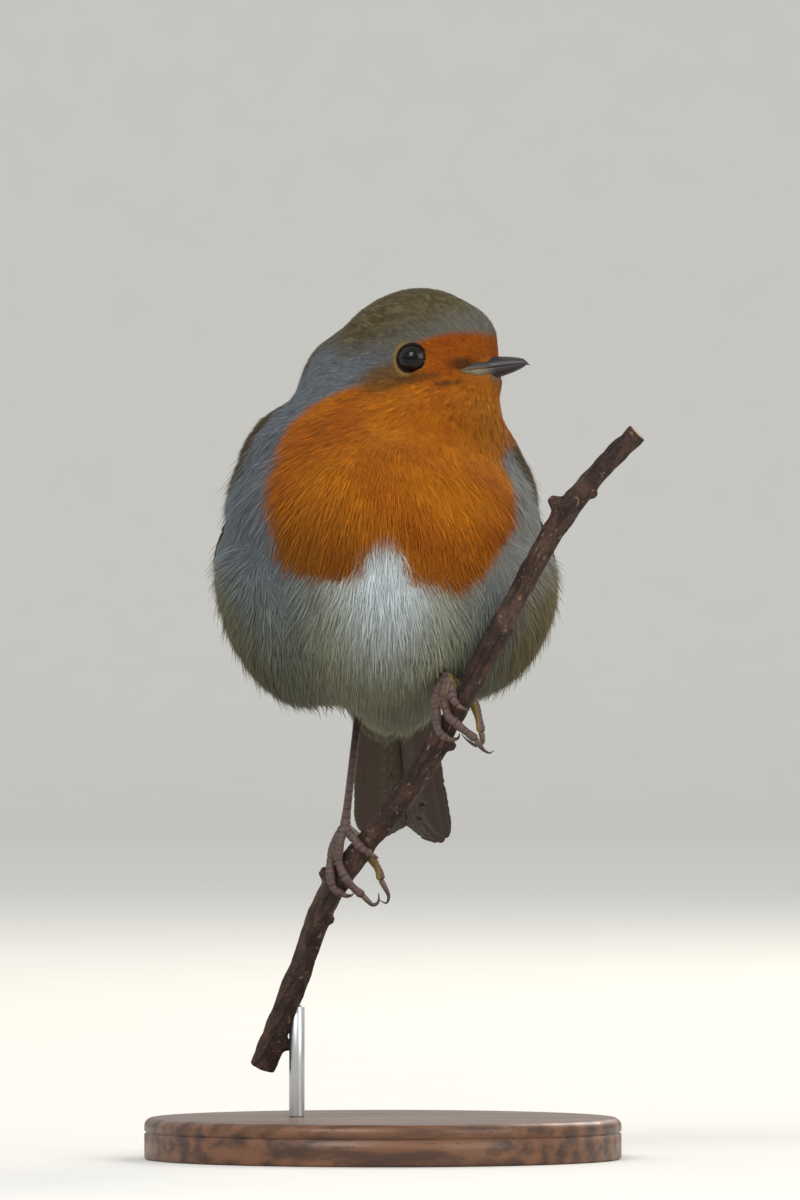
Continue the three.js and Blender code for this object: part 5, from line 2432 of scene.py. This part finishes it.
@dataclass(frozen=True)
class WoodFinish(Finish):
    """Turned walnut with long grain under satin oil."""

    def feeds(self, g: Graph) -> Feeds:
        """Grain runs along X.

        Args:
            g: The material's tree.

        Returns:
            The feeds.
        """
        place = g.place()
        drawn = g.vector("MULTIPLY", place, (0.09, 1.0, 1.0))
        swirl = g.get("ShaderNodeTexNoise", {"Vector": place, "Scale": 14.0}, "Color")
        bend = g.scaled(g.vector("SUBTRACT", swirl, (0.5, 0.5, 0.5)), 0.004)
        grain = g.noise(g.vector("ADD", drawn, bend), 330, 5)
        pores = g.smooth(g.noise(g.vector("MULTIPLY", place, (0.06, 1, 1)), 2600, 2), 0.6, 0.72)
        paint = g.mix(g.smooth(grain, 0.36, 0.64), colour(112, 74, 48), colour(66, 41, 27))
        paint = g.mix(pores * 0.55, paint, colour(38, 23, 15))
        return {
            "Base Color": paint, "Roughness": 0.36 + 0.2 * grain + 0.2 * pores,
            "Normal": g.bump(grain * 0.3 - pores, 0.05, 0.5),
        }


@dataclass(frozen=True)
class SteelFinish(Finish):
    """Bright drawn steel with fine lines along the bar."""

    def feeds(self, g: Graph) -> Feeds:
        """Scratches run up the bar.

        Args:
            g: The material's tree.

        Returns:
            The feeds.
        """
        drawn = g.vector("MULTIPLY", g.place(), (1.0, 1.0, 0.02))
        lines = g.noise(drawn, 9000, 3)
        smear = g.noise(g.place(), 160, 2)
        return {
            "Base Color": g.mix(lines, colour(172, 174, 176), colour(206, 207, 208)),
            "Roughness": 0.2 + 0.16 * lines + 0.1 * smear, "Normal": g.bump(lines, 0.01, 0.4),
        }


@dataclass(frozen=True)
class PaperFinish(Finish):
    """Matt studio paper with a barely visible tooth."""

    def feeds(self, g: Graph) -> Feeds:
        """A pale warm grey.

        Args:
            g: The material's tree.

        Returns:
            The feeds.
        """
        tooth = g.noise(g.place(), 40, 3)
        return {"Base Color": g.mix(tooth, colour(226, 224, 219), colour(221, 219, 214))}


# ---- Stand and studio ----


@dataclass
class Stand:
    """The round base and the rod that holds the twig."""

    radius: float = 46
    height: float = 8
    rod_radius: float = 1.5
    rod_at: Pair = (-16.6, 3.4)
    rod_top: float = 29.5

    def turned(self, name: str, profile: Sequence[Numbers], at: Numbers, sides: int) -> Piece:
        """Makes a turned piece.

        Args:
            name: Its name.
            profile: Pairs of radius and height from the bottom to the top.
            at: Its axis in x and y.
            sides: How many sides it has.

        Returns:
            The piece.
        """
        angle = around(sides)
        across, along = np.cos(angle), np.sin(angle)
        rings = [np.stack([at[0] + r * across, at[1] + r * along, 0 * angle + z], 1) for r, z in profile]
        parts = MeshParts()
        parts.add(*closed_tube(np.stack(rings)))
        return parts.piece(name)

    def round_edge(self, radius: float, height: float, bevel: float, low: bool) -> list[Pair]:
        """A quarter round between a side and a face.

        Args:
            radius: The radius of the side.
            height: The height of the face.
            bevel: The radius of the round.
            low: Whether the face is below.

        Returns:
            Pairs of radius and height.
        """
        turns = np.linspace(0, math.pi / 2, 7)
        if low:
            return [(radius - bevel * (1 - math.sin(a)), height + bevel * (1 - math.cos(a))) for a in turns]
        return [(radius - bevel * (1 - math.cos(a)), height - bevel * (1 - math.sin(a))) for a in turns]

    def build(self) -> dict[str, Piece]:
        """Makes the base and the rod, by the node that each stands for.

        Returns:
            The pieces.
        """
        r, h = self.radius, self.height
        bead = [(r, 4.9), (r - 0.35, 5.1), (r - 0.35, 5.3), (r, 5.5)]
        profile = [(6, 0), (30, 0), *self.round_edge(r, 0, 0.6, True), (r, 3), *bead]
        profile += [*self.round_edge(r, h, 1.6, False), (40, h), (34, h), (20, h), (6, h)]
        rod = [(self.rod_radius, z) for z in (h, h + 0.2, 18, self.rod_top - 0.3)]
        rod += [(self.rod_radius - 0.3, self.rod_top)]
        return {
            "stand_base": self.turned("stand_base_turned", profile, (0, 0), 160),
            "stand_rod": self.turned("stand_rod_bar", rod, self.rod_at, 48),
        }


@dataclass
class Studio:
    """A pale round sweep, soft lights and the camera."""

    distance: float = 3.0
    aim: Pair = (0.0033, 0.1077)
    lens: float = 467.0
    floor: float = 4.2
    curve: float = 0.6
    wall: float = 1.1

    def sweep(self) -> Piece:
        """Makes the floor, which curves up into a wall all round.

        Returns:
            The piece.
        """
        turns = np.linspace(0, math.pi / 2, 16)
        profile = [(0.02, 0), (0.5, 0), (1.5, 0), (self.floor, 0)]
        curve = self.curve
        profile += [(self.floor + curve * math.sin(a), curve * (1 - math.cos(a))) for a in turns[1:]]
        angle = around(96)
        profile.append((self.floor + curve, self.wall))
        across, along = np.cos(angle), np.sin(angle)
        rings = np.stack([np.stack([r * across, r * along, 0 * angle + z], 1) for r, z in profile])
        mesh = bpy.data.meshes.new("studio_sweep")
        faces = strip_faces(len(profile), len(angle)) + [list(range(len(angle)))[::-1]]
        mesh.from_pydata(rings.reshape(-1, 3).tolist(), [], [face[::-1] for face in faces])
        mesh.shade_smooth()
        mesh.materials.append(PaperFinish("paper", 0.9, 0.1).material())
        return add_object("studio_sweep", mesh)

    def light(self, name: str, at: Numbers, size: float, power: float, tone: Numbers) -> None:
        """Adds a square soft light that faces the bird.

        Args:
            name: Its name.
            at: Where it stands.
            size: Its width in metres.
            power: Its power in watts.
            tone: Its colour.
        """
        lamp = bpy.data.lights.new(name, "AREA")
        lamp.size, lamp.energy, lamp.color = size, power, tuple(tone)
        obj = add_object(name, lamp)
        obj.location = at
        obj.rotation_euler = (Vector((0, 0, 0.11)) - Vector(at)).to_track_quat("-Z", "Y").to_euler()

    def build(self) -> None:
        """Sets up the sweep, the lights and the camera."""
        self.sweep()
        self.light("key", (-0.7, -1.6, 1.5), 1.0, 23, (0.97, 0.99, 1.0))
        self.light("fill", (1.5, -1.3, 0.9), 1.2, 15, (1.0, 0.97, 0.93))
        self.light("rim", (0.9, 1.5, 1.2), 0.9, 20, (1.0, 0.9, 0.76))
        world = bpy.data.worlds.new("studio_world")
        world.use_nodes = True
        sky = world.node_tree.nodes["Background"]
        sky.inputs["Color"].default_value = (0.96, 0.98, 1.0, 1)
        sky.inputs["Strength"].default_value = 0.8
        scene = bpy.context.scene
        scene.world = world
        scene.view_settings.view_transform = "Standard"
        camera = bpy.data.cameras.new("camera")
        camera.sensor_fit, camera.sensor_height, camera.lens = "VERTICAL", 36.0, self.lens
        scene.camera = add_object("camera", camera)
        scene.camera.location = (self.aim[0], -self.distance, self.aim[1])
        scene.camera.rotation_euler = (math.pi / 2, 0, 0)


# ---- Putting it together ----

EYES = tuple(Eye(name) for name in SIDES)


def main() -> None:
    """Builds and dresses every piece."""
    logging.basicConfig(level=logging.INFO, format="%(message)s")
    Studio().build()
    finish_piece(TWIG.build(), BarkFinish("bark", specular=0.3).material(), "bark", ["perch"])
    finishes = {
        "stand_base": ("stand_wood", WoodFinish("walnut", coat=0.15)),
        "stand_rod": ("stand_steel", SteelFinish("steel", metallic=1.0)),
    }
    for node, piece in Stand().build().items():
        slot, finish = finishes[node]
        finish_piece(piece, finish.material(), slot, [node])
    scales = LegFinish("leg_scale").material()
    claw = ClawFinish("claw", roughness=0.3, specular=0.5).material()
    for foot in FEET:
        skin_nodes, claw_nodes = foot.nodes()
        finish_piece(foot.skin(), scales, "leg_scale", skin_nodes)
        finish_piece(foot.talons(), claw, "claw", claw_nodes)
    for node, piece in BILL.build().items():
        horn = BillFinish(f"{node}_horn", specular=0.5, lower=node == "lower_bill").material()
        finish_piece(piece, horn, "bill", [node])
    wet = EyeFinish("eye", roughness=0.07, specular=0.22).material()
    lid = LidFinish("lid", roughness=0.65, specular=0.2).material()
    for eye in EYES:
        finish_piece(eye.ball(), wet, "eye", [f"{eye.name}_eye"])
        finish_piece(eye.lids(), lid, "eye")
    finish_piece(Bristles().build(), LidFinish("bristle", roughness=0.5).material(), "plumage")
    vanes = VaneFinish("flight_feather", roughness=0.62, specular=0.2, sheen=0.1).material()
    wings = [Wing(name) for name in SIDES]
    for wing in wings:
        finish_piece(wing.build(), vanes, "flight_feather", [f"{wing.name}_wing"])
    # the tail's darker brown is partly its own colour and partly painted shade
    tail = VaneFinish(
        "tail_feather", roughness=0.62, specular=0.2, sheen=0.1,
        vane=colour(57, 41, 29), dark=colour(40, 29, 21), olive=0.25,
    )
    finish_piece(Tail().build(), tail.material(), "flight_feather", ["tail"])
    skin = Skin().build()
    places = SkinPlaces(skin, wings)
    coat = Coat(skin, places, CoatFinish("plumage", roughness=0.8, specular=0.1, sheen=0.06).material())
    for part in COAT:
        finish_piece(coat.part(part), coat.material, "plumage")
    down = SkinFinish("down", roughness=0.9, specular=0.1).material()
    finish_piece(skin, down, "plumage", ["head", "neck", "trunk"])


if __name__ == "__main__":
    main()
